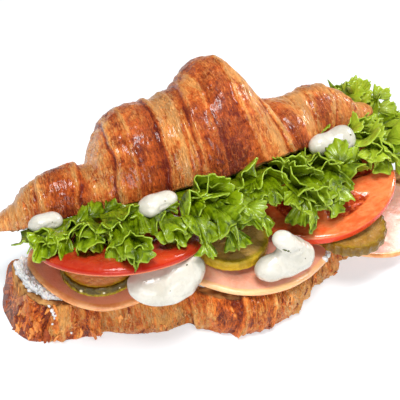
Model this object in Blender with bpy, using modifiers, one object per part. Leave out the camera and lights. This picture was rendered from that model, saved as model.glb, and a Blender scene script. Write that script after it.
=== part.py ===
"""Pork croissant sandwich: a split croissant filled with cream cheese, ham, pickle, tomato, lettuce and sauce.

+X runs along the croissant, -Y faces the open side of the sandwich, +Z is up, and it stands on Z = 0.
"""

import math

import bmesh
import bpy
import numpy as np
from mathutils import Euler, Matrix, Vector
from mathutils.bvhtree import BVHTree

MM = 0.001

# Clearance that keeps neighbouring pieces from sharing space
GAP = 0.4 * MM

# The design is drawn about a point under the middle lobe, then centred under the whole sandwich
CENTRE_SHIFT = (-14.2 * MM, -3.5 * MM, 0.0)

# Lower croissant half: each lobe is (middle along X, half length, half width), from the left end to the right tip
BASE_LOBES = ((-58.5, 21, 19), (-24, 26, 25), (9, 28, 40), (35, 22.5, 26.5), (68, 23, 18), (90, 18, 10))
BASE_RIM = 17 * MM
BASE_TIP_DROP = 6 * MM
BASE_TUCK = math.radians(33)
BASE_BOXINESS = 2.6
BASE_END_BLUNT = 0.7
BASE_FLATNESS = 1.4
BASE_END_LEAN = 7.0

# Upper croissant half: each lobe is (middle along X, half length, half width, height above the cut)
LID_LOBES = (
    (-62, 14, 8, 8.5),
    (-46, 22, 11, 17.7),
    (-13, 24, 22, 34.6),
    (5, 14, 26, 35.5),
    (20.5, 17.5, 26, 44.3),
    (42.5, 13, 22, 20.3),
    (62, 23, 12, 20),
    (79, 17, 10, 7.5),
)
LID_BOXINESS = 2.1
LID_ROUNDNESS = 2.15
LID_WIDTH_REACH = 1.35
LID_PLACE = (0.0, 16 * MM, 39 * MM)
LID_OPEN = math.radians(-25)
LID_ROLL = math.radians(-3)
LID_TUCK = math.radians(14)
LID_FAN = 0.003
LID_FAN_MIDDLE = 12
LOBE_BLEND = 9

# Slices: middle, half sizes along and across, and tilt about X and Y in degrees
HAM_THICK = 2.0 * MM
HAM_BRIDGE = 5.5 * MM
HAM_SAG = 0.4
HAM_SLICES = (
    ("ham_left", (-31, 6), (37, 32)),
    ("ham_middle", (15, -5), (37, 36)),
    ("ham_right", (66, -5), (34, 27)),
)
PICKLE_THICK = 4.5 * MM
PICKLES = (
    ("pickle_left", (-45, -6), (15.0, 15.0), (6, -2)),
    ("pickle_middle", (5, -17), (14.5, 14.5), (4, -3)),
    ("pickle_right", (54, -24), (15.0, 15.0), (8, -2)),
)
TOMATO_THICK = 4.5 * MM
TOMATOES = (
    ("tomato_left", (-37, -7), (31.0, 31.0), (-15, 6)),
    ("tomato_right", (50.5, -9), (30.5, 25.0), (11, -10)),
)

CHEESE_THICK = 2.0 * MM
CHEESE_INSET = 4.5 * MM

# Lettuce: root, crown and frilled margin of each leaf, in millimetres, from left to right
LEAF_THICK = 0.8 * MM
LEAVES = (
    (
        "lettuce_left",
        ((-70, 12, 35), (-56, 9, 39), (-45, 7, 41)),
        ((-72, 5, 36), (-57, -1, 41), (-45, -4, 43)),
        ((-75, 8, 30), (-67, -3, 36), (-57, -11, 43), (-47, -14, 43)),
    ),
    (
        "lettuce_drooping",
        ((-43, -1, 44), (-31, -1, 45), (-19, 0, 45)),
        ((-45, -9, 46), (-32, -12, 46), (-19, -12, 46)),
        ((-53, -20, 47), (-48, -37, 43), (-40, -36, 43), (-30, -24, 45), (-19, -28, 43)),
    ),
    (
        "lettuce_middle",
        ((-14, 8, 41), (5, 8, 42), (25, 8, 43)),
        ((-13, -10, 46), (5, -14, 46), (26, -12, 46)),
        ((-16, -33, 40), (-4, -39, 33), (7, -35, 37), (15, -36, 37), (26, -29, 40)),
    ),
    (
        "lettuce_right",
        ((26, 9, 43), (43, 11, 43), (61, 14, 43)),
        ((28, -14, 43), (43, -13, 42), (62, 1, 44)),
        ((27, -28, 36), (33, -32, 31), (42, -31, 30), (50, -27, 33), (57, -18, 37), (69, -3, 44)),
    ),
    (
        "lettuce_far",
        ((66, 17, 37), (76, 23, 33), (77, 34, 30)),
        ((71, 2, 39), (90, 14, 34), (86, 40, 32)),
        ((67, -6, 38), (80, -8, 35), (95, 1, 34), (104, 17, 36), (101, 34, 41), (87, 50, 44)),
    ),
)
LEAF_SPAN = 31
LEAF_ROWS = 7
LEAF_GAP = 0.1
LEAF_ROOM = 1.0 * MM
LEAF_SLOPE = 1.1
RUFFLE_HEIGHT = 4.2
RUFFLE_LENGTH = 15.0

# The leaves are heights over a slope that faces the open front
OUTWARD = Vector((0.0, -0.6, 0.8))
UPSLOPE = Vector((0.0, 0.8, 0.6))
ACROSS = Vector((1.0, 0.0, 0.0))
SLOPE_STEP = 1.1
LEAF_SHADE = 12.0

# Sauce dollops, each a union of rounded lobes: middle, half sizes along, across and up, turn about Z, lean about X
DOLLOPS = (
    (
        "sauce_left_tip",
        (
            ((-63, 6, 42), (4.8, 4.2, 4.2), -10, 10),
            ((-58.5, 6, 42), (4.8, 4.2, 4.0), 10, 10),
        ),
    ),
    (
        "sauce_under_lid",
        (
            ((-25, -11, 49.5), (5.5, 4.8, 4.2), 10, 15),
            ((-19.5, -11, 50.5), (5.0, 3.8, 3.4), 5, 15),
        ),
    ),
    (
        "sauce_right_tip",
        (
            ((52.5, -2, 50), (5.0, 4.5, 4.5), 14, 15),
            ((61.5, -3, 50.5), (6.5, 5.5, 5.2), 20, 15),
        ),
    ),
    (
        "sauce_front_large",
        (
            ((-29, -31, 31), (15.0, 9.5, 5.5), 6, 38),
            ((-22, -30, 33), (9.5, 7.5, 5.5), 10, 38),
        ),
    ),
    (
        "sauce_front_curl",
        (
            ((17.5, -38, 38.5), (4.8, 4.6, 4.6), 20, 30),
            ((19.5, -37.5, 34), (5.2, 4.8, 4.8), 20, 30),
            ((23.5, -37.3, 29), (7.0, 5.0, 5.2), 40, 30),
            ((12.0, -37.2, 27), (7.5, 5.2, 5.5), -6, 30),
            ((18.0, -37.2, 27), (6.5, 5.0, 5.0), 10, 30),
        ),
    ),
)


def clear_scene():
    for old in list(bpy.data.objects):
        bpy.data.objects.remove(old, do_unlink=True)


def make_material(name, colour, roughness):
    found = bpy.data.materials.new(name)
    found.use_nodes = True
    shader = found.node_tree.nodes["Principled BSDF"]
    shader.inputs["Base Color"].default_value = (*colour, 1.0)
    shader.inputs["Roughness"].default_value = roughness
    shader.inputs["Metallic"].default_value = 0.0
    return found


def add_mesh(name, points, faces, finish, group):
    """A named object from points in metres, with its normals facing out."""
    mesh = bpy.data.meshes.new(name)
    mesh.from_pydata([tuple(p) for p in points], [], faces)
    shape = bmesh.new()
    shape.from_mesh(mesh)
    bmesh.ops.recalc_face_normals(shape, faces=shape.faces)
    shape.to_mesh(mesh)
    shape.free()
    mesh.shade_smooth()
    mesh.set_sharp_from_angle(angle=math.radians(40))
    piece = bpy.data.objects.new(name, mesh)
    piece.data.materials.append(finish)
    group.objects.link(piece)
    return piece


def smooth_max(values, power=LOBE_BLEND):
    values = np.maximum(np.array(values), 1e-6)
    return (values**power).sum(axis=0) ** (1 / power)


def lobe_profile(x, lobes, index, boxiness, stretch=1.0, blunt=0.0):
    """The size at x of a chain of rounded lobes, creased where they meet; blunt squares off the first one."""
    humps = []
    ends = (0, len(lobes) - 1)
    for k, lobe in enumerate(lobes):
        half = lobe[1] if k in ends else lobe[1] * stretch
        power = boxiness + blunt if k == 0 else boxiness
        reach = max(0.0, 1 - abs((x - lobe[0]) / half) ** power)
        humps.append(lobe[index] * reach ** (1 / power))
    return float(smooth_max(humps))


def loft(rings):
    """Points and faces of a skin through closed rings of one size, with an n-gon at each end."""
    count = len(rings[0])
    points = [p for ring in rings for p in ring]
    faces = []
    for row in range(len(rings) - 1):
        for k in range(count):
            a = row * count + k
            b = row * count + (k + 1) % count
            faces.append((a, b, b + count, a + count))
    faces.append(tuple(range(count)))
    faces.append(tuple(range(len(points) - count, len(points))))
    return points, faces


def superellipse(turn, power):
    c, s = math.cos(turn), math.sin(turn)
    return (
        math.copysign(abs(c) ** (2 / power), c),
        math.copysign(abs(s) ** (2 / power), s),
    )


def base_centre(x):
    return -3 + 26 * ((x - 8) / 95) ** 2 * 0.55


def base_half_width(x):
    return lobe_profile(x, BASE_LOBES, 2, BASE_BOXINESS, blunt=BASE_END_BLUNT)


def base_rim(x):
    """Height of the cut face, lower towards the right tip."""
    share = min(1.0, max(0.0, (x - 8) / 42))
    return BASE_RIM - BASE_TIP_DROP * share * share * (3 - 2 * share)


def section(half, high, tuck, power, around, flat):
    """Outline of one croissant half in its own Y and Z: a domed crust, tucked in to the cut, then the cut face."""
    edge_side, edge_up = superellipse(-tuck, power)
    outline = []
    for j in range(around + 1):
        side, up = superellipse(-tuck + (math.pi + 2 * tuck) * j / around, power)
        outline.append((-half * side, high * (up - edge_up) / (1 - edge_up)))
    for j in range(1, flat):
        outline.append((half * edge_side * (1 - 2 * j / flat), 0.0))
    return outline


def make_base(finish, group):
    """The lower half: flat underneath, bulging crust, level cut face."""
    stations, around, flat = 50, 12, 3
    left = BASE_LOBES[0][0] - BASE_LOBES[0][1]
    right = BASE_LOBES[-1][0] + BASE_LOBES[-1][1]
    rings = []
    for k in range(stations + 1):
        share = k / stations
        eased = 0.3 * (0.5 - 0.5 * math.cos(math.pi * share)) + 0.7 * share
        x = left + (right - left) * (0.004 + 0.992 * eased)
        half = base_half_width(x)
        rim = base_rim(x) / MM
        deep = min(BASE_FLATNESS * rim, 5 + 1.3 * half)
        lean = BASE_END_LEAN * min(1.0, max(0.0, (-58 - x) / 22)) ** 2
        ring = []
        for y, down in section(half, deep, BASE_TUCK, BASE_BOXINESS, around, flat):
            z = max(rim - down, 0.0)
            ring.append(((x + lean * z / rim) * MM, (base_centre(x) + y) * MM, z * MM))
        rings.append(ring)
    return add_mesh("croissant_base", *loft(rings), finish, group)


def lid_centre(x):
    """The crescent's centre line: it leans back towards both tips."""
    return 2 + 14 * max(0.0, (x - 10) / 94) ** 2 + 11 * max(0.0, (-30 - x) / 50) ** 2


def make_lid(finish, group):
    """The upper half: a row of tall creased lobes over a flat cut face, tipped open towards -Y."""
    stations, around, flat = 56, 13, 3
    left = LID_LOBES[0][0] - LID_LOBES[0][1]
    right = LID_LOBES[-1][0] + LID_LOBES[-1][1]
    place = Matrix.Translation(LID_PLACE) @ Euler((LID_OPEN, LID_ROLL, 0)).to_matrix().to_4x4()
    rings = []
    for k in range(stations + 1):
        x = left + (right - left) * (0.006 + 0.988 * k / stations)
        half = lobe_profile(x, LID_LOBES, 2, 2, LID_WIDTH_REACH)
        high = lobe_profile(x, LID_LOBES, 3, LID_BOXINESS)
        ring = []
        for y, z in section(half, high, LID_TUCK, LID_ROUNDNESS, around, flat):
            fan = 1 + LID_FAN * max(0.0, -y)
            x_fanned = LID_FAN_MIDDLE + (x - LID_FAN_MIDDLE) * fan
            ring.append(place @ Vector((x_fanned * MM, (lid_centre(x) + y) * MM, z * MM)))
        rings.append(ring)
    return add_mesh("croissant_lid", *loft(rings), finish, group)


def tree_of(pieces, grow=0.0):
    """One search tree over the world-space faces of several pieces, grown outward by the given amount."""
    points, faces = [], []
    bpy.context.view_layer.update()
    graph = bpy.context.evaluated_depsgraph_get()
    for piece in pieces:
        shown = piece.evaluated_get(graph)
        mesh = shown.to_mesh()
        start = len(points)
        points += [shown.matrix_world @ (v.co + v.normal * grow) for v in mesh.vertices]
        faces += [tuple(start + k for k in f.vertices) for f in mesh.polygons]
        shown.to_mesh_clear()
    return BVHTree.FromPolygons(points, faces)


def top_under(tree, x, y):
    """Height of the highest face at (x, y), or None where nothing lies below."""
    hit = tree.ray_cast(Vector((x, y, 1.0)), Vector((0, 0, -1)))
    return None if hit[0] is None else hit[0].z


def sagging_heights(tree, places, cell, slope):
    """Underside heights of a limp slice: it lies on what is below and sags past the edges at the given slope."""
    places = np.array(places)
    low, high = places.min(axis=0), places.max(axis=0)
    step = 1.6 * MM
    props = []
    for x in np.arange(low[0], high[0] + step, step):
        for y in np.arange(low[1], high[1] + step, step):
            z = top_under(tree, x, y)
            if z is not None:
                props.append((x, y, z))
    props = np.array(props)
    reach = np.linalg.norm(places[:, None, :] - props[None, :, :2], axis=2)
    return (props[:, 2] - slope * np.clip(reach - cell, 0, None)).max(axis=1) + GAP


def two_sided_disc(places, under, thick, rings, spokes):
    """Points and faces of a slice from a polar grid: bottom side, top side and rim."""
    bottom = [(x, y, z) for (x, y), z in zip(places, under)]
    top = [(x, y, z + thick) for x, y, z in bottom]
    size = len(bottom)
    faces = []
    for side in (0, size):
        for k in range(spokes):
            faces.append((side, side + 1 + k, side + 1 + (k + 1) % spokes))
        for r in range(rings - 1):
            for k in range(spokes):
                a = side + 1 + r * spokes + k
                b = side + 1 + r * spokes + (k + 1) % spokes
                faces.append((a, b, b + spokes))
                faces.append((a, b + spokes, a + spokes))
    edge = 1 + (rings - 1) * spokes
    for k in range(spokes):
        a = edge + k
        b = edge + (k + 1) % spokes
        faces.append((a, b, b + size, a + size))
    return bottom + top, faces


def make_ham(name, middle, radii, supports, finish, group):
    """A limp round slice draped over what lies under it, with an uneven outline."""
    rings, spokes = 5, 24
    phase = middle[0] * 0.1
    places = [(middle[0] * MM, middle[1] * MM)]
    for r in range(1, rings + 1):
        for k in range(spokes):
            turn = 2 * math.pi * k / spokes
            uneven = 1 + 0.025 * math.sin(3 * turn + phase) + 0.015 * math.sin(5 * turn + 2 * phase)
            share = r / rings * uneven
            places.append(
                (
                    (middle[0] + radii[0] * share * math.cos(turn)) * MM,
                    (middle[1] + radii[1] * share * math.sin(turn)) * MM,
                )
            )
    under = sagging_heights(tree_of(supports), places, HAM_BRIDGE, HAM_SAG)
    return add_mesh(name, *two_sided_disc(places, under, HAM_THICK, rings, spokes), finish, group)


def make_coin(name, middle, radii, tilt, thick, supports, finish, group, wobble=0.0, spokes=28):
    """A stiff round slice with softened edges, lowered until it rests on the pieces under it."""
    bpy.ops.mesh.primitive_cylinder_add(vertices=spokes, radius=1.0, depth=thick)
    piece = bpy.context.object
    piece.name = name
    piece.data.name = name
    for old in list(piece.users_collection):
        old.objects.unlink(piece)
    group.objects.link(piece)
    for v in piece.data.vertices:
        turn = math.atan2(v.co.y, v.co.x)
        uneven = 1 + wobble * (math.sin(2 * turn + middle[0]) + 0.6 * math.sin(5 * turn + middle[1]))
        v.co.x *= uneven * radii[0] * MM
        v.co.y *= uneven * radii[1] * MM
    edge = piece.modifiers.new("edge", "BEVEL")
    edge.width = 0.18 * thick
    edge.segments = 1
    piece.data.materials.append(finish)
    turned = Euler((math.radians(tilt[0]), math.radians(tilt[1]), 0))
    piece.rotation_euler = turned
    piece.location = (middle[0] * MM, middle[1] * MM, 0.2)
    piece.location.z -= drop_height(piece, supports, turned, radii, thick)
    piece.data.shade_smooth()
    piece.data.set_sharp_from_angle(angle=math.radians(40))
    return piece


def drop_height(piece, supports, turned, radii, thick):
    """How far a tilted coin falls before it is GAP above the pieces under it."""
    tree = tree_of(supports)
    fall = 1.0
    normal = turned.to_matrix() @ Vector((0, 0, 1))
    for r in np.linspace(0.0, 1.0, 12):
        for turn in np.linspace(0, 2 * math.pi, 48, endpoint=False):
            out = r * MM
            spot = Vector((out * radii[0] * math.cos(turn), out * radii[1] * math.sin(turn), -thick / 2))
            world = turned.to_matrix() @ spot + piece.location
            under = top_under(tree, world.x, world.y)
            if under is not None:
                fall = min(fall, world.z - under)
    return fall - GAP / max(0.5, normal.z)


def make_cheese(finish, group):
    """Soft cheese spread over the cut face, lumpy where it shows at the left end."""
    stations, across = 20, 5
    left = BASE_LOBES[0][0] - BASE_LOBES[0][1]
    bottom, top = [], []
    for k in range(stations + 1):
        x = left + 7 + (152) * k / stations
        half = base_half_width(x) - CHEESE_INSET / MM
        half *= 0.93 + 0.05 * math.sin(1.1 * k)
        for j in range(across + 1):
            share = 2 * j / across - 1
            y = base_centre(x) + half * share
            lump = 1.6 * math.exp(-(((x + 65) / 8) ** 2) - ((y - 1) / 8) ** 2)
            edge = 1 - abs(share) ** 6
            thick = (CHEESE_THICK / MM) * (0.55 + 0.45 * edge) + lump
            z = (base_rim(x) + GAP) / MM
            bottom.append((x * MM, y * MM, z * MM))
            top.append((x * MM, y * MM, (z + thick) * MM))
    size = len(bottom)
    columns = across + 1
    faces = []
    for side in (0, size):
        for k in range(stations):
            for j in range(across):
                a = side + k * columns + j
                faces.append((a, a + 1, a + columns + 1))
                faces.append((a, a + columns + 1, a + columns))
    for k in range(stations):
        for j in (0, across):
            a = k * columns + j
            faces.append((a, a + columns, a + columns + size, a + size))
    for j in range(across):
        for k in (0, stations):
            a = k * columns + j
            faces.append((a, a + 1, a + 1 + size, a + size))
    return add_mesh("cheese_spread", bottom + top, faces, finish, group)


def through(points, t):
    """A point at share t of a smooth curve through the given points."""
    points = [np.array(p, float) for p in points]
    spans = len(points) - 1
    k = min(int(t * spans), spans - 1)
    f = t * spans - k
    p1, p2 = points[k], points[k + 1]
    p0 = points[k - 1] if k > 0 else 2 * p1 - p2
    p3 = points[k + 2] if k + 2 <= spans else 2 * p2 - p1
    return 0.5 * (
        2 * p1 + (p2 - p0) * f + (2 * p0 - 5 * p1 + 4 * p2 - p3) * f * f + (3 * p1 - p0 - 3 * p2 + p3) * f**3
    )


def leaf_sheet(root, crown, margin, seed):
    """A frilled leaf as rows of points: place across and up the slope, height off it, and how far out it may wave."""
    rows, columns = LEAF_ROWS + 1, LEAF_SPAN + 1
    grid = np.zeros((rows, columns, 3))
    for i in range(rows):
        v = i / LEAF_ROWS
        for j in range(columns):
            u = j / LEAF_SPAN
            a, b, c = through(root, u), through(crown, u), through(margin, u)
            grid[i, j] = (1 - v) ** 2 * a + 2 * v * (1 - v) * (2 * b - 0.5 * (a + c)) + v * v * c
    along_edge = np.gradient(grid, axis=1)
    along_edge /= np.linalg.norm(along_edge, axis=2, keepdims=True)
    outward = np.gradient(grid, axis=0)
    outward /= np.linalg.norm(outward, axis=2, keepdims=True)
    length = np.linalg.norm(np.diff(grid[-1], axis=0), axis=1).sum()
    waves = np.zeros((rows, columns))
    for i in range(rows):
        wide = RUFFLE_HEIGHT * max(0.0, i / LEAF_ROWS - 0.15) ** 1.2
        for j in range(columns):
            turn = 2 * math.pi * (j / LEAF_SPAN) * length / RUFFLE_LENGTH + seed
            waves[i, j] = wide * (1 + 0.8 * math.sin(turn) + 0.4 * math.sin(2.3 * turn + 1.7 * seed))
            grid[i, j] += along_edge[i, j] * wide * 0.12 * math.sin(2 * turn)
            grid[i, j] += outward[i, j] * wide * 0.55 * math.sin(1.6 * turn + 2 * seed)
    return grid, np.maximum(waves, 0.0)


def slope_heights(tree, low, high, way):
    """Grid of the first surface met along the given way over a patch of the slope the leaves lie on."""
    found = []
    for x in np.arange(low[0], high[0] + SLOPE_STEP, SLOPE_STEP):
        for up in np.arange(low[1], high[1] + SLOPE_STEP, SLOPE_STEP):
            start = ACROSS * (x * MM) + UPSLOPE * (up * MM) - way * 0.2
            hit = tree.ray_cast(start, way)
            if hit[0] is not None:
                found.append((x, up, hit[0].dot(OUTWARD) / MM))
    return np.array(found)


def leaf_corners(rows, columns):
    """Corner indices of the triangles of a sheet of rows by columns points."""
    found = []
    for i in range(rows - 1):
        for j in range(columns - 1):
            a = i * columns + j
            found.append((a, a + 1, a + columns + 1))
            found.append((a, a + columns + 1, a + columns))
    return np.array(found)


def spots_in_faces(flat, corners, heights):
    """For every sampled height inside a triangle: the triangle, its three weights there and the height."""
    a, b, c = (flat[corners[:, k]][:, None, :] for k in range(3))
    p = heights[None, :, :2]
    ab, ac, ap = b - a, c - a, p - a
    area = ab[..., 0] * ac[..., 1] - ab[..., 1] * ac[..., 0]
    wb = (ap[..., 0] * ac[..., 1] - ap[..., 1] * ac[..., 0]) / area
    wc = (ab[..., 0] * ap[..., 1] - ab[..., 1] * ap[..., 0]) / area
    slack = -0.06
    face, spot = np.nonzero((wb >= slack) & (wc >= slack) & (wb + wc <= 1 - slack))
    weights = np.stack([1 - wb[face, spot] - wc[face, spot], wb[face, spot], wc[face, spot]], axis=1)
    return face, weights, heights[spot, 2]


def settle(heights, corners, spots, room, way):
    """Raises (way 1) or lowers (way -1) triangles until they keep room from the sampled heights."""
    face, weights, limit = spots
    now = (heights[corners[face]] * weights).sum(axis=1)
    short = np.maximum((limit + way * room - now) * way, 0)
    short /= (weights**2).sum(axis=1)
    moves = np.zeros(len(heights))
    for k in range(3):
        np.maximum.at(moves, corners[face][:, k], short * np.maximum(weights[:, k], 0))
    heights += way * moves


def leaf_slab(flat, heights, lower, upper, rows, columns):
    """Points and faces of a leaf between two offsets from its heights: both sides split alike, then the edge."""
    points = []
    for lift in (lower, upper):
        for (x, up), height in zip(flat, heights):
            points.append((ACROSS * x + UPSLOPE * up + OUTWARD * (height + lift)) * MM)
    size = rows * columns
    faces = []
    for start in (0, size):
        faces += [tuple(int(k) + start for k in face) for face in leaf_corners(rows, columns)]
    for i in range(rows - 1):
        for j in (0, columns - 1):
            a = i * columns + j
            faces.append((a, a + columns, a + columns + size, a + size))
    for j in range(columns - 1):
        for i in (0, rows - 1):
            a = i * columns + j
            faces.append((a, a + 1, a + 1 + size, a + size))
    return points, faces


def make_leaf(name, lines, seed, supports, lid, finish, group, helpers):
    """A thin ruffled leaf laid over what is below it and tucked under the lid, and the space it shades."""
    grid, waves = leaf_sheet(*lines, seed)
    flat = np.stack([grid @ np.array(ACROSS), grid @ np.array(UPSLOPE)], axis=-1).reshape(-1, 2)
    wanted = (grid @ np.array(OUTWARD)).reshape(-1)
    low, high = flat.min(axis=0) - 1, flat.max(axis=0) + 1
    below = slope_heights(tree_of(supports, LEAF_ROOM), low, high, -OUTWARD)
    above = slope_heights(tree_of([lid], LEAF_ROOM), low, high, OUTWARD)
    gap, thick = LEAF_GAP, LEAF_THICK / MM
    reach = np.linalg.norm(flat[:, None, :] - below[None, :, :2], axis=2)
    floor = (below[:, 2] - LEAF_SLOPE * reach).max(axis=1) + gap
    heights = np.maximum(wanted, floor) + waves.reshape(-1)
    corners = leaf_corners(*grid.shape[:2])
    floor_spots = spots_in_faces(flat, corners, below)
    roof_spots = spots_in_faces(flat, corners, above)
    for _ in range(80):
        settle(heights, corners, roof_spots, gap + thick, -1)
        settle(heights, corners, floor_spots, gap, 1)
    rows, columns = grid.shape[:2]
    leaf = add_mesh(name, *leaf_slab(flat, heights, 0.0, thick, rows, columns), finish, group)
    shade = leaf_slab(flat, heights, -LEAF_SHADE, thick + gap, rows, columns)
    return leaf, add_mesh(name + "_shade", *shade, finish, helpers)


def inflated(piece, amount):
    """A copy of a piece grown by amount along its normals, for cutting its neighbour."""
    graph = bpy.context.evaluated_depsgraph_get()
    mesh = bpy.data.meshes.new_from_object(piece.evaluated_get(graph))
    mesh.transform(piece.matrix_world)
    for v in mesh.vertices:
        v.co += v.normal * amount
    return bpy.data.objects.new(piece.name + "_clearance", mesh)


def largest_island(mesh):
    """Keeps the biggest connected part of a mesh and drops loose scraps."""
    shape = bmesh.new()
    shape.from_mesh(mesh)
    left = set(shape.verts)
    islands = []
    while left:
        stack = [next(iter(left))]
        found = set(stack)
        while stack:
            for edge in stack.pop().link_edges:
                for v in edge.verts:
                    if v not in found:
                        found.add(v)
                        stack.append(v)
        islands.append(found)
        left -= found
    keep = max(islands, key=len)
    bmesh.ops.delete(shape, geom=[v for v in shape.verts if v not in keep], context="VERTS")
    shape.to_mesh(mesh)
    shape.free()


def carve(piece, neighbours, shades, helpers):
    """Cuts the space of its neighbours, and a small gap round them, out of a soft piece."""
    for neighbour in neighbours:
        cutter = inflated(neighbour, GAP)
        helpers.objects.link(cutter)
        boolean(piece, cutter, "DIFFERENCE")
        bpy.data.objects.remove(cutter)
    for shade in shades:
        cutter = inflated(shade, GAP)
        helpers.objects.link(cutter)
        boolean(piece, cutter, "DIFFERENCE")
        bpy.data.objects.remove(cutter)
    largest_island(piece.data)


def make_lobe(name, middle, halves, turn, lean, group):
    """One rounded blob, slightly uneven round its outline."""
    bpy.ops.mesh.primitive_uv_sphere_add(segments=12, ring_count=7, radius=1.0)
    piece = bpy.context.object
    piece.name = name
    piece.data.name = name
    for old in list(piece.users_collection):
        old.objects.unlink(piece)
    group.objects.link(piece)
    place = (
        Matrix.Translation([c * MM for c in middle])
        @ Euler((math.radians(lean), 0, math.radians(turn)), "XYZ").to_matrix().to_4x4()
    )
    for v in piece.data.vertices:
        around = math.atan2(v.co.y, v.co.x)
        uneven = 1 + 0.06 * math.sin(2 * around + middle[0]) + 0.04 * math.sin(3 * around)
        flat = Vector((v.co.x * halves[0] * uneven, v.co.y * halves[1] * uneven, v.co.z * halves[2]))
        v.co = place @ (flat * MM)
    return piece


def boolean(piece, other, operation):
    """Joins or cuts a piece with another one and keeps the result as its mesh."""
    step = piece.modifiers.new("step", "BOOLEAN")
    step.operation = operation
    step.solver = "EXACT"
    step.object = other
    bpy.context.view_layer.update()
    graph = bpy.context.evaluated_depsgraph_get()
    mesh = bpy.data.meshes.new_from_object(piece.evaluated_get(graph))
    piece.modifiers.remove(step)
    if mesh.polygons:
        piece.data = mesh


def make_dollop(name, lobes, finish, group):
    """A soft swirl of sauce: lobes joined in one solid."""
    piece = make_lobe(name, *lobes[0], group)
    for lobe in lobes[1:]:
        added = make_lobe(name + "_lobe", *lobe, group)
        boolean(piece, added, "UNION")
        bpy.data.objects.remove(added)
    piece.data.materials.clear()
    piece.data.materials.append(finish)
    piece.data.shade_smooth()
    return piece


def centre_all(group):
    bpy.context.view_layer.update()
    for piece in group.objects:
        piece.matrix_world = Matrix.Translation(CENTRE_SHIFT) @ piece.matrix_world


def main():
    clear_scene()
    group = bpy.data.collections.new("croissant_sandwich")
    helpers = bpy.data.collections.new("clearances")
    helpers.hide_render = True
    for made in (group, helpers):
        bpy.context.scene.collection.children.link(made)
    crust = make_material("baked_crust", (0.62, 0.27, 0.09), 0.45)
    cheese = make_material("cream_cheese", (0.88, 0.86, 0.80), 0.6)
    ham = make_material("ham", (0.86, 0.53, 0.44), 0.4)
    pickle = make_material("pickle", (0.42, 0.36, 0.06), 0.3)
    tomato = make_material("tomato", (0.75, 0.10, 0.04), 0.25)
    lettuce = make_material("lettuce", (0.28, 0.50, 0.05), 0.35)
    sauce = make_material("sauce", (0.90, 0.88, 0.80), 0.3)

    base = make_base(crust, group)
    spread = make_cheese(cheese, group)
    stack = [base, spread]
    for name, middle, radii in HAM_SLICES:
        stack.append(make_ham(name, middle, radii, stack, ham, group))
    slices = []
    for name, middle, radii, tilt in PICKLES:
        slices.append(make_coin(name, middle, radii, tilt, PICKLE_THICK, stack, pickle, group, 0.008))
    stack += slices
    for name, middle, radii, tilt in TOMATOES:
        stack.append(make_coin(name, middle, radii, tilt, TOMATO_THICK, stack, tomato, group, 0.012, 36))
    lid = make_lid(crust, group)
    leaves, shades = [], []
    for k, (name, *lines) in enumerate(LEAVES):
        leaf, shade = make_leaf(name, lines, 1.3 * k, [*stack, *leaves], lid, lettuce, group, helpers)
        leaves.append(leaf)
        shades.append(shade)
    dollops = []
    for name, lobes in DOLLOPS:
        blob = make_dollop(name, lobes, sauce, group)
        carve(blob, [lid, *stack, *leaves, *dollops], shades, helpers)
        dollops.append(blob)
    for left_over in list(helpers.objects):
        bpy.data.objects.remove(left_over)
    bpy.data.collections.remove(helpers)
    centre_all(group)


main()
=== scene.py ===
"""Pork croissant sandwich: the finished look of each piece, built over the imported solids."""

import contextlib
import itertools
import math

import bmesh
import bpy
import numpy as np
from mathutils import Euler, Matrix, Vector
from mathutils.bvhtree import BVHTree


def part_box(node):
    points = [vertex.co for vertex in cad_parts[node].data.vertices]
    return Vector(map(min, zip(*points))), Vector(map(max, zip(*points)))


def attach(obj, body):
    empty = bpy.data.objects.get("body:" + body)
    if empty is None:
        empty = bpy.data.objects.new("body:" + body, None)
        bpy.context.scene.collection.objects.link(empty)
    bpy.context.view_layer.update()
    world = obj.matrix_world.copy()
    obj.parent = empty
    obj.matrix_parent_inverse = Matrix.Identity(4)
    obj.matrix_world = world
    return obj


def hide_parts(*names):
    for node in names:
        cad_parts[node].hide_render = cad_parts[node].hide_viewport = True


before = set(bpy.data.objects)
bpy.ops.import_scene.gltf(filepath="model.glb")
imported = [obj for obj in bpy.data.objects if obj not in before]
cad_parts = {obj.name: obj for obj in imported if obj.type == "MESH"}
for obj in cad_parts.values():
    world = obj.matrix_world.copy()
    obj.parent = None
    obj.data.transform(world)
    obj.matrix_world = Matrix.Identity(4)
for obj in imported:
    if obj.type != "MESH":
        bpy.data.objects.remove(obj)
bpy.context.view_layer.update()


# Lower croissant half
# The bottom of a rolled laminated pastry: a row of lobes, baked brown outside, cut level through the crumb.
# Its side shows the edges of the dough layers as upright ribs. It lies on the table and carries everything.

MM = 0.001
SHIFT = np.array((-14.2, -3.5, 0.0))


def stack(*columns):
    return np.stack(np.broadcast_arrays(*columns), axis=-1)


def ramp(x, start, end):
    """From 0 at the start to 1 at the end."""
    return np.clip((x - start) / (end - start), 0, 1)


def grain(seed, *columns):
    """Smooth random values from -1 to 1 over two or three columns of numbers, or one array of such rows."""
    places = stack(*columns) if len(columns) > 1 else columns[0]
    size, primes = places.shape[-1], np.array((374761393, 668265263, 1103515245))
    whole = np.floor(places).astype(np.int64)
    part = places - whole
    part = part * part * (3 - 2 * part)
    total = 0
    for corner in itertools.product((0, 1), repeat=size):
        key = ((whole + corner) * primes[:size]).sum(axis=-1) + seed * 144269
        key = ((key ^ (key >> 13)) * 1274126177) & 0xFFFFFFFF
        key = ((key ^ (key >> 15)) * 2246822519) & 0xFFFFFFFF
        weight = np.prod(np.where(corner, part, 1 - part), axis=-1)
        total = total + weight * ((key ^ (key >> 16)) & 0xFFFFFF) / 0xFFFFFF
    return total * 2 - 1


def ridges(seed, *columns):
    """Thin raised lines from 0 to 1 where the grain changes sign."""
    return np.clip(1 - 3.2 * np.abs(grain(seed, *columns)), 0, 1)


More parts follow.
